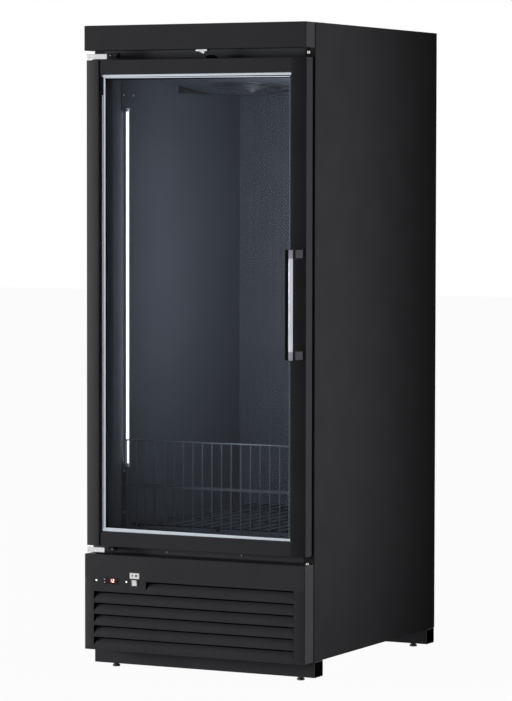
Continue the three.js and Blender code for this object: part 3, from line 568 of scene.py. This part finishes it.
# ---- Base rails and feet, in millimetres unless marked ----
FOOT_X = 321                             # from the middle to a foot's axis
FOOT_Y = {"front": 30, "rear": 866}
TUBE_WALL = 2.5 * MM
# Size and place of the black blocks in the rail tubes' open ends.
END_SHADE_LENGTH, END_SHADE_X, END_SHADE_Z = 54.8, (377.5, 380.8), (15.6, 59.1)
# Black rubber strips set into the side seams behind the grille's ends and the header's ends: painted shade
# that darkens these narrow gaps.
SHADE_STRIP_X, SHADE_STRIP_THICKNESS, SHADE_STRIP_Y = 376.4, 3, (-9, -0.4)
SHADE_STRIP_HEIGHTS = ((64, 358.5), (1919, 1992))  # behind the grille's ends and behind the header's

for word in ("front", "rear"):
    low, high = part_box(word + "_base_rail")
    rail = folded_sheet(word + "_tube", low, high, [OUT_LEFT, OUT_RIGHT], SIDE_FOLD, TUBE_WALL)
    middle = (low.y + high.y) / 2
    for x in (-FOOT_X * MM, FOOT_X * MM):
        carve(rail, rod("stud_hole", (x, middle, 10 * MM), (x, middle, 17 * MM), 5.4 * MM, 24))
    # The base rails take the coat's lighter copy: painted light in their shade under the grille.
    done(rail, "cabinet", lightened_coat, "black_paint", word + "_base_rail")

# Black blocks just inside the rail tubes' open ends: painted shade standing for the dark hollow of the tubes.
plugs = [round_edges(slab("plug", [side * x for x in END_SHADE_X], (y, y + END_SHADE_LENGTH), END_SHADE_Z), 0.8 * MM)
         for y in (2.6, 838.6) for side in (-1, 1)]
done(join("rail_end_shade_blocks", plugs), "cabinet", rubber, "black_plastic")
# The dark strips in the side seams: painted shade.
shade_strips = [slab("shade_strip", (side * SHADE_STRIP_X, side * (SHADE_STRIP_X + SHADE_STRIP_THICKNESS)), SHADE_STRIP_Y, heights)
         for side in (-1, 1) for heights in SHADE_STRIP_HEIGHTS]
done(join("seam_shade_strips", shade_strips), "cabinet", rubber, "rubber")


def levelling_foot(name):
    """A rubber-edged pad, a hexagon nut and a threaded stud, around the origin."""
    pad = rod("pad", (0, 0, 0), (0, 0, 6 * MM), 12 * MM, 32, 1.5 * MM)
    nut = rod("nut", (0, 0, 5.5 * MM), (0, 0, 9.5 * MM), 9 * MM, 6, 0.5 * MM)
    stud = rod("stud", (0, 0, 1 * MM), (0, 0, 50 * MM), 4.4 * MM, 16)
    first_turn, pitch, turns, crest = 12, 2.3, 16, 1.2 * MM
    parts = [pad, nut, stud]
    for turn in range(turns):
        z = (first_turn + pitch * turn) * MM
        parts.append(rod("thread", (0, 0, z), (0, 0, z + crest), 5 * MM, 16, 0.4 * MM))
    return join(name, parts)


foot = levelling_foot("foot_template")
for end, y in FOOT_Y.items():
    for word, x in (("left", -FOOT_X), ("right", FOOT_X)):
        twin = copy_of(foot, end + "_" + word + "_levelling_foot", at(x, y, 0))
        done(twin, end + "_" + word + "_leveller", foot_steel, "zinc_plate", end + "_" + word + "_foot")
bpy.data.objects.remove(foot)

# ---- Grille, in millimetres ----
LOUVRE_TOPS = (283, 245, 209.3, 174, 138.5, 102.5)
LOUVRE_PITCH, LOUVRE_LAND, LOUVRE_GAP, LOUVRE_DEPTH = 35.7, 6, 5.5, 11
LOUVRE_LEFT, SHORT_LEFT, LOUVRE_RIGHT = -348.5, -165, 342.5
LEFT_SLIT, RIGHT_SLIT = 3.5, 1.2         # open slits at the ends of a louvre's flap
FLAP_CORNER = 5.5                        # radius of a flap's upper corners
FLAP_ROOT = 0.2                          # share of a flap's height that stays joined at its ends
CORNER_CUTS = (0, 0.4, 1.2, 2.4, 3.8, FLAP_CORNER)  # the sheet's columns over a flap's corner
FLAP_ROWS = 6                            # the sheet's rows over a flap's height
WINDOW_X, WINDOW_Z = (-316, -259), (269, 289)
SWITCH_X, SWITCH_Z = (-214.6, -194.4), (267, 289)


def louvre_span(row):
    return (SHORT_LEFT if row == 0 else LOUVRE_LEFT), LOUVRE_RIGHT


def flap_heights(top):
    return top - LOUVRE_PITCH + LOUVRE_LAND, top - LOUVRE_GAP


def pressed(x, z):
    """Where a point of the flat face goes when the flaps are cut and pressed in, all in millimetres."""
    for row, top in enumerate(LOUVRE_TOPS):
        left, right = louvre_span(row)
        foot, head = flap_heights(top)
        if foot < z < head + 0.1 and left + 0.1 < x < right - 0.1:
            from_corner = max(FLAP_CORNER - min(x - left - LEFT_SLIT, right - x - RIGHT_SLIT), 0)
            lost = FLAP_CORNER - math.sqrt(max(FLAP_CORNER ** 2 - from_corner ** 2, 0))
            rise = (z - foot) / (head - foot)
            return LOUVRE_DEPTH * rise ** 2, foot + rise * (head - lost - foot)
    return 0, z


def is_opening(x, z):
    """Whether a place on the grille's face lies in a hole, in millimetres."""
    for (left, right), (low, high) in ((WINDOW_X, WINDOW_Z), (SWITCH_X, SWITCH_Z)):
        if left < x < right and low < z < high:
            return True
    for row, top in enumerate(LOUVRE_TOPS):
        left, right = louvre_span(row)
        foot, head = flap_heights(top)
        if head < z < top and left < x < right:
            return True
        at_end = left < x < left + LEFT_SLIT or right - RIGHT_SLIT < x < right
        if at_end and foot + FLAP_ROOT * (head - foot) < z < top:
            return True
    return False


def pressed_grille():
    low, high = GRILLE
    grille = block("grille_sheet", low, (high.x, high.y - SEAM, high.z))
    delete_faces(grille, lambda centre, facing: facing.y > 0.9)
    round_folds(grille, HEADER_FOLD)
    rows, columns = {*WINDOW_Z, SWITCH_Z[0]}, {*WINDOW_X, *SWITCH_X}
    for row, top in enumerate(LOUVRE_TOPS):
        foot, head = flap_heights(top)
        rows |= {foot + (head - foot) * step / FLAP_ROWS for step in range(FLAP_ROWS + 1)} | {top}
        left, right = louvre_span(row)
        for across in CORNER_CUTS:
            columns |= {left + LEFT_SLIT + across, right - RIGHT_SLIT - across}
        columns |= {left, right}
    for axis, places in ((0, columns), (2, rows)):
        cut_planes(grille, axis, [place * MM for place in sorted(places)],
                   lambda centre, facing: facing.y < -0.99)
    delete_faces(grille, lambda centre, facing: facing.y <= -0.99
                 and is_opening(centre.x / MM, centre.z / MM))
    for point in grille.data.vertices:
        if point.co.y < low.y + NEAR:
            inward, height = pressed(point.co.x / MM, point.co.z / MM)
            point.co.y += inward * MM
            point.co.z = height * MM
    return thicken(grille, SHEET)


# The grille takes the coat's lighter copy: painted light.
done(pressed_grille(), "cabinet", lightened_coat, "black_paint", "front_grille", angle=50)

# ---- Controls in the grille, in millimetres ----
FACE = -65                               # Y of the grille's front face
KEY_X, KEY_Z = -310, {"down": 274.5, "up": 283.5}
LENS_FRONT = FACE - 0.5
FIGURE_HEIGHT, FIGURE_Z = 10.5, 275
FIGURE_X = {"1": -291, "2": -281.5}      # the left side of each figure on the display
SEGMENTS = {"1": "bc", "2": "abged"}
MARK_Y, MARK_Z = (FACE - 0.45, FACE - 0.28), 299.5
RING_X = -198.5                          # the off mark on the switch's label

case = round_edges(slab("controller_case", (-325, -250), (FACE + 1.5, -12), (262, 296)), 1.5 * MM)
done(case, "cabinet", abs_black, "black_plastic", "temperature_controller")
lens = slab("display_lens", (-315.7, -259.3), (LENS_FRONT, FACE + 1.4), (269.3, 288.7))
for z in KEY_Z.values():
    carve(lens, rod("key_well", at(KEY_X, FACE - 2, z), at(KEY_X, FACE + 3, z), 2.4 * MM, 24))
done(round_edges(lens, 0.4 * MM), "cabinet", smoked, "black_plastic", "temperature_controller")
for word, z in KEY_Z.items():
    key = rod("controller_button_" + word, at(KEY_X, FACE - 1.3, z), at(KEY_X, FACE + 5, z), 2 * MM, 24,
              0.5 * MM)
    done(key, "key_" + word, key_grey, "black_plastic", "controller_key_" + word)


def digit(text):
    """A seven-segment figure of small raised bars."""
    x, z, height = FIGURE_X[text], FIGURE_Z, FIGURE_HEIGHT
    half, wide, bar = height / 2, height * 0.5, height * 0.12
    spans = {
        "a": ((0, height - bar), (wide, height)), "g": ((0, half - bar / 2), (wide, half + bar / 2)),
        "d": ((0, 0), (wide, bar)), "b": ((wide - bar, half), (wide, height)),
        "c": ((wide - bar, 0), (wide, half)), "e": ((0, 0), (bar, half)),
    }
    parts = []
    for letter in SEGMENTS[text]:
        low, high = spans[letter]
        parts.append(slab("bar", (x + low[0], x + high[0]), (LENS_FRONT - 0.15, LENS_FRONT),
                          (z + low[1], z + high[1])))
    return parts


figures = join("display_figures", digit("1") + digit("2"))
done(figures, "cabinet", display_red, "lamp_tube")

bezel = round_edges(slab("switch_bezel", (-216.6, -192.4), (FACE - 1.2, FACE - 0.3), (266, 290)), 0.4 * MM)
switch_body = slab("switch_body", (-214.3, -194.7), (FACE - 1, -30), (267.3, 288.7))
housing = join("switch_frame", [bezel, switch_body])
carve(housing, slab("well", (-213, -196), (FACE - 3, FACE + 15), (268.4, 287.6)))
done(housing, "cabinet", abs_black, "black_plastic", "power_switch_housing")
dress(abs_white, "power_switch_rocker")
label = slab("switch_label", (-221, -188), (FACE - 0.3, FACE - 0.02), (290.3, 308))
done(round_edges(label, 0.12 * MM, 1), "cabinet", abs_white, "white_plastic")
bar_mark = slab("switch_mark_on", (-213.6, -210), MARK_Y, (MARK_Z - 3, MARK_Z + 3))
done(bar_mark, "cabinet", ink, "black_plastic")
ring = rod("switch_mark_off", at(RING_X, MARK_Y[0], MARK_Z), at(RING_X, MARK_Y[1], MARK_Z), 3.6 * MM, 24)
carve(ring, rod("ring_bore", at(RING_X, FACE - 2, MARK_Z), at(RING_X, FACE + 2, MARK_Z), 1.1 * MM, 24))
done(ring, "cabinet", ink, "black_plastic")
for x in (-337, -232):
    screw("cabinet", at(x, FACE, 279), OUT_FRONT, 1.1)

# ---- Door, in millimetres unless marked ----
STILE_FALL = 9 * MM                      # how far a stile's face falls back to its outer edge
STILE_CUTS = 16                          # strips across a stile's face
HINGE_X, HINGE_Y = -360, -40             # the door's axis
PIVOT_HOLES = ((1870, 1890), (384, 400))
GROOVE_Y = (-56.3, -34.7)                # the panes' edges stand in a groove in stiles and rails
GROOVE_OPEN, GROOVE_DEPTH = 2, 8.2       # how far its cutter reaches out of the frame and into it
RAIL_EDGES = {"top": 1888, "bottom": 386}
RAIL_HEIGHT = 45


def curved_stile(name, node, side):
    """An extrusion whose face falls back in a gentle curve to its outer edge."""
    low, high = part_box(node)
    bar = block(name, low, high)
    wide, outer = high.x - low.x, (high.x if side > 0 else low.x)
    inner = outer - side * wide
    cut_planes(bar, 0, [inner + side * wide * step / STILE_CUTS for step in range(1, STILE_CUTS)])
    for point in bar.data.vertices:
        if point.co.y < low.y + NEAR:
            point.co.y += STILE_FALL * (abs(point.co.x - inner) / wide) ** 1.5
    pick(bar, "EDGE", lambda centre, along: abs(along.z) > 0.9 and centre.y < low.y + STILE_FALL + NEAR
         and (abs(centre.x - inner) < NEAR or abs(centre.x - outer) < NEAR))
    bpy.ops.mesh.bevel(offset=1 * MM, segments=3, affect="EDGES")
    object_mode()
    reach = sorted((inner - side * GROOVE_OPEN * MM, inner + side * GROOVE_DEPTH * MM))
    front, back = (at(0, y, 0).y for y in GROOVE_Y)
    return carve(bar, block("groove", (reach[0], front, low.z - 1 * MM), (reach[1], back, high.z + 1 * MM)))


for side, word in ((-1, "left"), (1, "right")):
    bar = curved_stile(word + "_stile_extrusion", "door_" + word + "_stile", side)
    if side < 0:
        for heights in PIVOT_HOLES:
            carve(bar, post("pivot_hole", HINGE_X, HINGE_Y, heights, 4.5 * MM, 24))
    done(bar, "door", anodised_upright, "black_paint", "door_" + word + "_stile", angle=30)

for word, edge in RAIL_EDGES.items():
    low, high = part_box("door_" + word + "_rail")
    bar = block(word + "_rail_extrusion", low, high)
    inward = -1 if word == "top" else 1
    inner = edge + inward * RAIL_HEIGHT
    round_edges(bar, 1.8 * MM, 3)
    carve(bar, slab("groove", (-335, 335), GROOVE_Y,
                    (inner + inward * GROOVE_OPEN, inner - inward * GROOVE_DEPTH)))
    done(bar, "door", anodised_level, "black_paint", "door_" + word + "_rail")

GASKET_X, GASKET_Z = (-362, 375), (388, 1886)
LIP_INSETS, LIP_WIDTH = (8, 17), 5       # two grooves run round the gasket's back


def gasket_ring(name, inset, y):
    """A block over the gasket's outline, drawn in by inset on every side."""
    return slab(name, (GASKET_X[0] + inset, GASKET_X[1] - inset), y,
                (GASKET_Z[0] + inset, GASKET_Z[1] - inset))


gasket = gasket_ring("magnetic_gasket", 0, (-14.7, -0.6))
carve(gasket, slab("gasket_daylight", (-337, 337), (-20, 5), (418, 1856)))
for inset in LIP_INSETS:
    groove = gasket_ring("groove", inset, (-3, 2))
    carve(groove, gasket_ring("land", inset + LIP_WIDTH, (-9, 8)))
    carve(gasket, groove)
done(round_edges(gasket, 1 * MM, 2), "door", rubber, "rubber", "door_gasket")

# The hollow spacer runs round the space between the panes.
SPACER_WIDTH, PROUD = 18.7 * MM, 10 * MM
low, high = SPACER
spacer = block("spacer_profile", low, high)
carve(spacer, block("daylight", (low.x + SPACER_WIDTH, low.y - PROUD, low.z + SPACER_WIDTH),
                    (high.x - SPACER_WIDTH, high.y + PROUD, high.z - SPACER_WIDTH)))
done(round_edges(spacer, 0.8 * MM), "door", spacer_grey, "satin_aluminium", "glass_spacer")

# Polished strips on the spacer behind the outer pane, laid where its highlight lines fall as painted
# highlight, and the black sealant beside them.
HIGHLIGHT_Y, SHOWN_Z = (-51.9, -51.5), (442.5, 1831.5)
highlight_bars = [
    slab("bar", (-330, 330), HIGHLIGHT_Y, (1835.4, 1842.6)),
    slab("bar", (-320, 320), HIGHLIGHT_Y, (1829.4, 1832.2)),
    slab("bar", (-330, 330), HIGHLIGHT_Y, (431.4, 439)),
    slab("bar", (-319.3, -313.6), HIGHLIGHT_Y, SHOWN_Z),
    slab("bar", (-326.8, -321), HIGHLIGHT_Y, (SHOWN_Z[0], 1780)),
    slab("bar", (318.8, 319.1), (-51, -40), SHOWN_Z),
]
# The second highlight strip climbs by 3 mm to its left end, and the third one widens there by 4 mm, following
# the highlights' shape.
for bar, rise in ((highlight_bars[1], 3), (highlight_bars[2], 4)):
    for point in bar.data.vertices:
        point.co.z += rise * MM if point.co.x < 0 and point.co.z > 435 * MM else 0
done(join("spacer_highlight_strips", highlight_bars), "door", highlight_aluminium, "satin_aluminium")
sealant = [slab("bead", (-330, 330), (-51.7, -51.5), (1832.4, 1835.2)),
           slab("bead", (-320, 320), (-51.7, -51.5), (1826.6, 1829.2))]
done(join("spacer_sealant", sealant), "door", rubber, "rubber")

# Handle: a black bar with a satin inlay, capped at both ends, on two blocks.
CORE_Z = (983, 1312.5)
INLAY_X, INLAY_Y = (356, 370.5), (-131, -128.7)
CAP_LENGTH, CAP_GAP = 25, 0.2
cap_starts = {"lower": CORE_Z[0], "upper": CORE_Z[1] - CAP_LENGTH}
core = slab("handle_core", (343.5, 372.5), (-131, -117), CORE_Z)
carve(core, slab("inlay_bed", (355.8, 370.7), (-132, -128.6), (982, 1314)))
done(round_edges(core, 1.2 * MM, 3), "door", handle_black, "satin_aluminium", "handle_bar")
inlay = slab("handle_inlay", INLAY_X, INLAY_Y,
             (cap_starts["lower"] + CAP_LENGTH + CAP_GAP, cap_starts["upper"] - CAP_GAP))
done(round_edges(inlay, 0.7 * MM, 3), "door", satin_upright, "satin_aluminium", "handle_bar")
for word, z in cap_starts.items():
    cap = slab("handle_" + word + "_cap", INLAY_X, INLAY_Y, (z, z + CAP_LENGTH))
    done(round_edges(cap, 0.9 * MM, 3), "door", cap_grey, "black_plastic", "handle_bar")
    low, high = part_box("handle_" + word + "_foot")
    block_foot = round_edges(block("handle_" + word + "_block", low, high), 1.5 * MM, 3)
    done(block_foot, "door", cast_grey, "black_paint", "handle_" + word + "_foot")

# ---- Hinges and lock, in millimetres ----
# For each hinge its free end, its plate's lower face, and the heights of the rest.
HINGES = {
    "top": {"end": -303.5, "plate": 1897, "lip": (1890.5, 1906.5), "flange": (1894, 1912),
            "pin": (1877, 1903), "washer": (1888.3, 1899)},
    "bottom": {"end": -313, "plate": 373, "lip": (366, 381), "flange": (365, 380),
               "pin": (371, 397), "washer": (375, 385.7)},
}
HINGE_EDGE, PLATE_THICKNESS, FLANGE_OVERHANG = -376, 4, 7

for word, hinge in HINGES.items():
    reach, plate = (HINGE_EDGE, hinge["end"]), (hinge["plate"], hinge["plate"] + PLATE_THICKNESS)
    parts = [
        round_edges(slab("plate", reach, (-57, -3.4), plate), 0.8 * MM),
        round_edges(slab("lip", reach, (-60, -56.5), hinge["lip"]), 1.2 * MM, 3),
        post("pin", HINGE_X, HINGE_Y, hinge["pin"], 4 * MM, 24, 0.5 * MM),
        post("washer", HINGE_X, HINGE_Y, hinge["washer"], 9 * MM, 32, 0.5 * MM),
    ]
    done(join(word + "_hinge", parts), "cabinet", silver_paint, "zinc_plate", word + "_hinge_bracket")
    flange = slab(word + "_hinge_flange", (HINGE_EDGE - 2, hinge["end"] + FLANGE_OVERHANG), (-3.3, -0.3),
                  hinge["flange"])
    done(round_edges(flange, 0.8 * MM), "cabinet", cast_grey, "zinc_plate", word + "_hinge_bracket")

lock = round_edges(slab("lock_bar", (4, 42), (-57, -40), (1910, 1916.7)), 1.2 * MM, 3)
carve(lock, slab("bolt_passage", BOLT_X, BOLT_Y, (1905, 1920)))
done(lock, "cabinet", zinc, "zinc_plate", "lock_housing")

# ---- Cabin, in millimetres unless marked ----
RIB_FIRST, RIB_PITCH, RIB_COUNT, RIB_HALF, RIB_RISE = -300, 25, 25, 2.5, 1.2
low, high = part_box("liner_back")
ribbed = block("ribbed_back_lining", low, high)
rib_places = [RIB_FIRST + RIB_PITCH * count for count in range(RIB_COUNT)]
cut_planes(ribbed, 0, [(x + edge) * MM for x in rib_places for edge in (-RIB_HALF, RIB_HALF)])
pick(ribbed, "FACE", lambda centre, facing: facing.y < -0.9
     and any(abs(centre.x / MM - x) < 2 for x in rib_places))
bpy.ops.mesh.extrude_region_move(TRANSFORM_OT_translate={"value": (0, -RIB_RISE * MM, 0)})
object_mode()
done(round_edges(ribbed, 0.5 * MM, 1), "cabinet", lining, "liner_paint", "liner_back")

# Evaporator cover: a sheet that slopes back and then runs level, with a rolled ring round the fan's hole.
SLOPE_FRONT, SLOPE_BACK, COVER_END = (52.5, 1859), (640, 1800), 838  # Y and Z, Y and Z, and Y
SLOPE_ANGLE = math.atan2(SLOPE_FRONT[1] - SLOPE_BACK[1], SLOPE_BACK[0] - SLOPE_FRONT[0])
COVER_HALF, COVER_SHEET = 315, 1.5
EVAP_FAN_X, EVAP_FAN_Y, CHEEK_FRONT = -66, 460, 430
CHEEK_THICKNESS, CHEEK_HEIGHT = 2, 3


def slope_height(y):
    return SLOPE_FRONT[1] - (y - SLOPE_FRONT[0]) * math.tan(SLOPE_ANGLE)


low_z = SLOPE_BACK[1]
cover = slab("evaporator_cover_sheet", (-COVER_HALF, COVER_HALF), (SLOPE_FRONT[0], COVER_END),
             (low_z, low_z + COVER_SHEET))
cut_planes(cover, 1, [at(0, SLOPE_BACK[0], 0).y])
for point in cover.data.vertices:
    if point.co.y < at(0, 60, 0).y:
        point.co.z += (SLOPE_FRONT[1] - low_z) * MM
hole_at = at(EVAP_FAN_X, EVAP_FAN_Y, slope_height(EVAP_FAN_Y))
hole_axis = Vector((0, math.sin(SLOPE_ANGLE), math.cos(SLOPE_ANGLE))) * 15 * MM
carve(cover, rod("fan_bore", hole_at - hole_axis, hole_at + hole_axis, 94 * MM, 64))
only(cover)
bpy.ops.mesh.primitive_torus_add(major_radius=96 * MM, minor_radius=2 * MM, major_segments=64,
                                 minor_segments=10, location=hole_at, rotation=(-SLOPE_ANGLE, 0, 0))
cover = join("evaporator_cover_sheet", [cover, started("rolled_ring")])
done(cover, "cabinet", lining, "liner_paint", "evaporator_cover")

# The guard over the fan: the radius and the drop of each wire ring, then of each spoke's three points.
GUARD_RINGS = ((130, 4), (117, 8), (104, 11), (92, 12.5), (78, 14), (64, 15.2), (50, 16.3), (36, 17.2),
               (24, 18))
SPOKE_POINTS = ((130, 2.6), (92, 10.9), (15, 17.2))
SPOKES, SPOKE_START = 8, 11              # their number, and the first one's angle in degrees
GUARD_WIRE = 1.3 * MM                    # radius


def fan_guard():
    """A flat dome of wire rings and spokes around a hub, made level and then turned onto the slope."""
    parts = []
    for radius, drop in GUARD_RINGS:
        bpy.ops.mesh.primitive_torus_add(major_radius=radius * MM, minor_radius=GUARD_WIRE, major_segments=48,
                                         minor_segments=8, location=(0, 0, -drop * MM))
        parts.append(started("ring"))
    parts.append(rod("hub", (0, 0, -20.5 * MM), (0, 0, -16.5 * MM), 17 * MM, 32, 1 * MM))
    for spoke in range(SPOKES):
        turn = math.radians(360 / SPOKES * spoke + SPOKE_START)
        rim, shoulder, hub = (Vector((radius * math.cos(turn), radius * math.sin(turn), -drop)) * MM
                              for radius, drop in SPOKE_POINTS)
        parts += [rod("spoke", rim, shoulder, GUARD_WIRE, 8), rod("spoke", shoulder, hub, GUARD_WIRE, 8)]
    guard = join("fan_guard_wires", parts)
    guard.rotation_euler = (-SLOPE_ANGLE, 0, 0)
    guard.location = hole_at
    return settle(guard, "fan_guard_wires")


done(fan_guard(), "cabinet", coated_wire, "zinc_plate", "evaporator_fan_guard")
cheeks = []
for side in (-1, 1):
    cheek = slab("cheek", (side * (COVER_HALF - CHEEK_THICKNESS), side * COVER_HALF),
                 (CHEEK_FRONT, SLOPE_BACK[0]), (low_z - CHEEK_HEIGHT, low_z - 0.1))
    for point in cheek.data.vertices:
        if point.co.y < at(0, CHEEK_FRONT + 1, 0).y and point.co.z > (low_z - 1) * MM:
            point.co.z += (slope_height(CHEEK_FRONT) - low_z) * MM
    cheeks.append(cheek)
done(join("evaporator_cover_cheeks", cheeks), "cabinet", abs_black, "black_plastic", "evaporator_cover")

# Light strips, and the plates, wall strips and breaker strips on the cabin's side walls.
WALL_X, TUBE_X, TUBE_Y, TUBE_Z, TUBE_CAP = 315.7, 308, 78, (634, 1731), 12
LAMP_PLATE, WALL_STRIP, BREAKER_STRIP = 2.5, 1.5, 0.6  # how far each stands off the wall
BREAKER_Y, BREAKER_Z = ((1, 16), (17.5, 49)), (421, 1855)

for side, word in ((-1, "left"), (1, "right")):
    x, wall, inward = TUBE_X * side, WALL_X * side, OUT_RIGHT if side < 0 else OUT_LEFT
    tube = post(word + "_lamp_tube", x, TUBE_Y, TUBE_Z, 4.5 * MM, 24)
    done(tube, "cabinet", diffuser, "lamp_tube", word + "_light_strip")
    caps = [post("cap", x, TUBE_Y, heights, 7 * MM, 24, 0.8 * MM)
            for heights in ((TUBE_Z[0] - TUBE_CAP, TUBE_Z[0]), (TUBE_Z[1], TUBE_Z[1] + TUBE_CAP))]
    done(join(word + "_lamp_caps", caps), "cabinet", abs_white, "white_plastic", word + "_light_strip")
    channel = slab(word + "_lamp_channel", (x, wall), (TUBE_Y - 4, TUBE_Y + 4),
                   (TUBE_Z[0] - 8, TUBE_Z[1] + 8))
    done(round_edges(channel, 0.8 * MM), "cabinet", abs_white, "white_plastic", word + "_light_strip")
    plate = slab(word + "_lamp_plate", (wall, wall - LAMP_PLATE * side), (51, 136), (1737, 1824))
    done(round_edges(plate, 0.6 * MM), "cabinet", lining, "liner_paint", word + "_light_strip")
    for y in (64, 124):
        screw("cabinet", at(wall - LAMP_PLATE * side, y, 1783), inward)
    strip = slab(word + "_wall_strip", (wall, wall - WALL_STRIP * side), (57, 75), (440, 655))
    done(round_edges(strip, 0.5 * MM), "cabinet", lining, "liner_paint")
    for z in (480, 610):
        screw("cabinet", at(wall - WALL_STRIP * side, 66, z), inward)
    strips = [round_edges(slab("strip", (wall, wall - BREAKER_STRIP * side), y, BREAKER_Z), 0.2 * MM, 1)
              for y in BREAKER_Y]
    done(join(word + "_breaker_strip", strips), "cabinet", breaker_grey, "black_plastic")

FENCE_Y, FENCE_HALF, FENCE_WIRES = 60, 300, 19
FENCE_WIRE, FENCE_RAIL, STAY_RAIL = 1.8 * MM, 2.6 * MM, 2.2 * MM  # radii
RAIL_END = 312                           # the rails' ends lie close to the side walls


def fence():
    """Upright wires with three rails behind them and one stay in front."""
    parts = []
    for wire in range(FENCE_WIRES):
        x = -FENCE_HALF + wire * 2 * FENCE_HALF / (FENCE_WIRES - 1)
        parts.append(post("wire", x, FENCE_Y, (420.6, 709), FENCE_WIRE, 10, 0.5 * MM))
    for y, z, radius in ((63.8, 432, FENCE_RAIL), (63.8, 569, FENCE_RAIL), (63.8, 708, FENCE_RAIL),
                         (56.6, 565, STAY_RAIL)):
        parts.append(rod("rail", at(-RAIL_END, y, z), at(RAIL_END, y, z), radius, 12, 0.6 * MM))
    return join("fence_wires", parts)


done(fence(), "cabinet", fence_wire, "black_paint", "wire_fence")

RACK_BARS, RACK_PITCH = 13, 0.048        # pitch in metres
BEARER_STEPS, LEG_STEPS = (0, 0.234, 0.484, 0.726), (0, 0.28, 0.56)


def rack():
    """Flat bars on edge across four bearers, each on three legs."""
    bar = round_edges(slab("bar", (-290.5, -285.5), (78, 840), (443, 448)), 1.2 * MM)
    bearer = round_edges(slab("bearer", (-300, 300), (96, 102), (439, 444)), 1.2 * MM)
    leg = round_edges(slab("leg", (-284, -276), (96, 102), (420.3, 440)), 1 * MM)
    parts = [bar] + [copy_of(bar, "bar", (RACK_PITCH * count, 0, 0)) for count in range(1, RACK_BARS)]
    for y in BEARER_STEPS:
        if y:
            parts.append(copy_of(bearer, "bearer", (0, y, 0)))
        parts += [copy_of(leg, "leg", (x, y, 0)) for x in LEG_STEPS if x or y]
    return join("floor_rack_bars", parts + [bearer, leg])


done(rack(), "cabinet", coated_wire, "black_paint", "floor_rack")

# White nylon plugs at the free side, under the header and on top of the grille.
NYLON_X, NYLON_Y = 372, -30
for word, heights in (("upper", (1898, 1907)), ("lower", (360.1, 366.5))):
    plug = post(word + "_corner_plug", NYLON_X, NYLON_Y, heights, 4.2 * MM, 20, 1.6 * MM)
    done(plug, "cabinet", abs_white, "white_plastic")
stem = post("upper_plug_stem", NYLON_X, NYLON_Y, (1906, 1916.9), 2.6 * MM, 20, 0.5 * MM)
done(stem, "cabinet", rubber, "rubber")

# ---- Screws on the face frame and the back ----
FRAME_SCREWS = ((-322, -3.3, 1904), (-307, -3.3, 1904), (-331, -3.3, 370), (-316, -3.3, 370),
                (-125, 0, 371), (134, 0, 374))
BACK_SCREW_X, BACK_SCREW_Y, BACK_SCREW_PITCH = 334, 900.5, 215

for x, y, z in FRAME_SCREWS:
    screw("cabinet", at(x, y, z), OUT_FRONT, 0.8)
for x in (-BACK_SCREW_X, BACK_SCREW_X):
    for row in range(9):
        screw("cabinet", at(x, BACK_SCREW_Y, 130 + BACK_SCREW_PITCH * row), OUT_BACK, 0.5)

for body, heads in screws.items():
    done(join(body + "_screws", heads), body, zinc, "zinc_plate")
bpy.data.objects.remove(SCREW)

bpy.context.scene.view_settings.view_transform = "Standard"
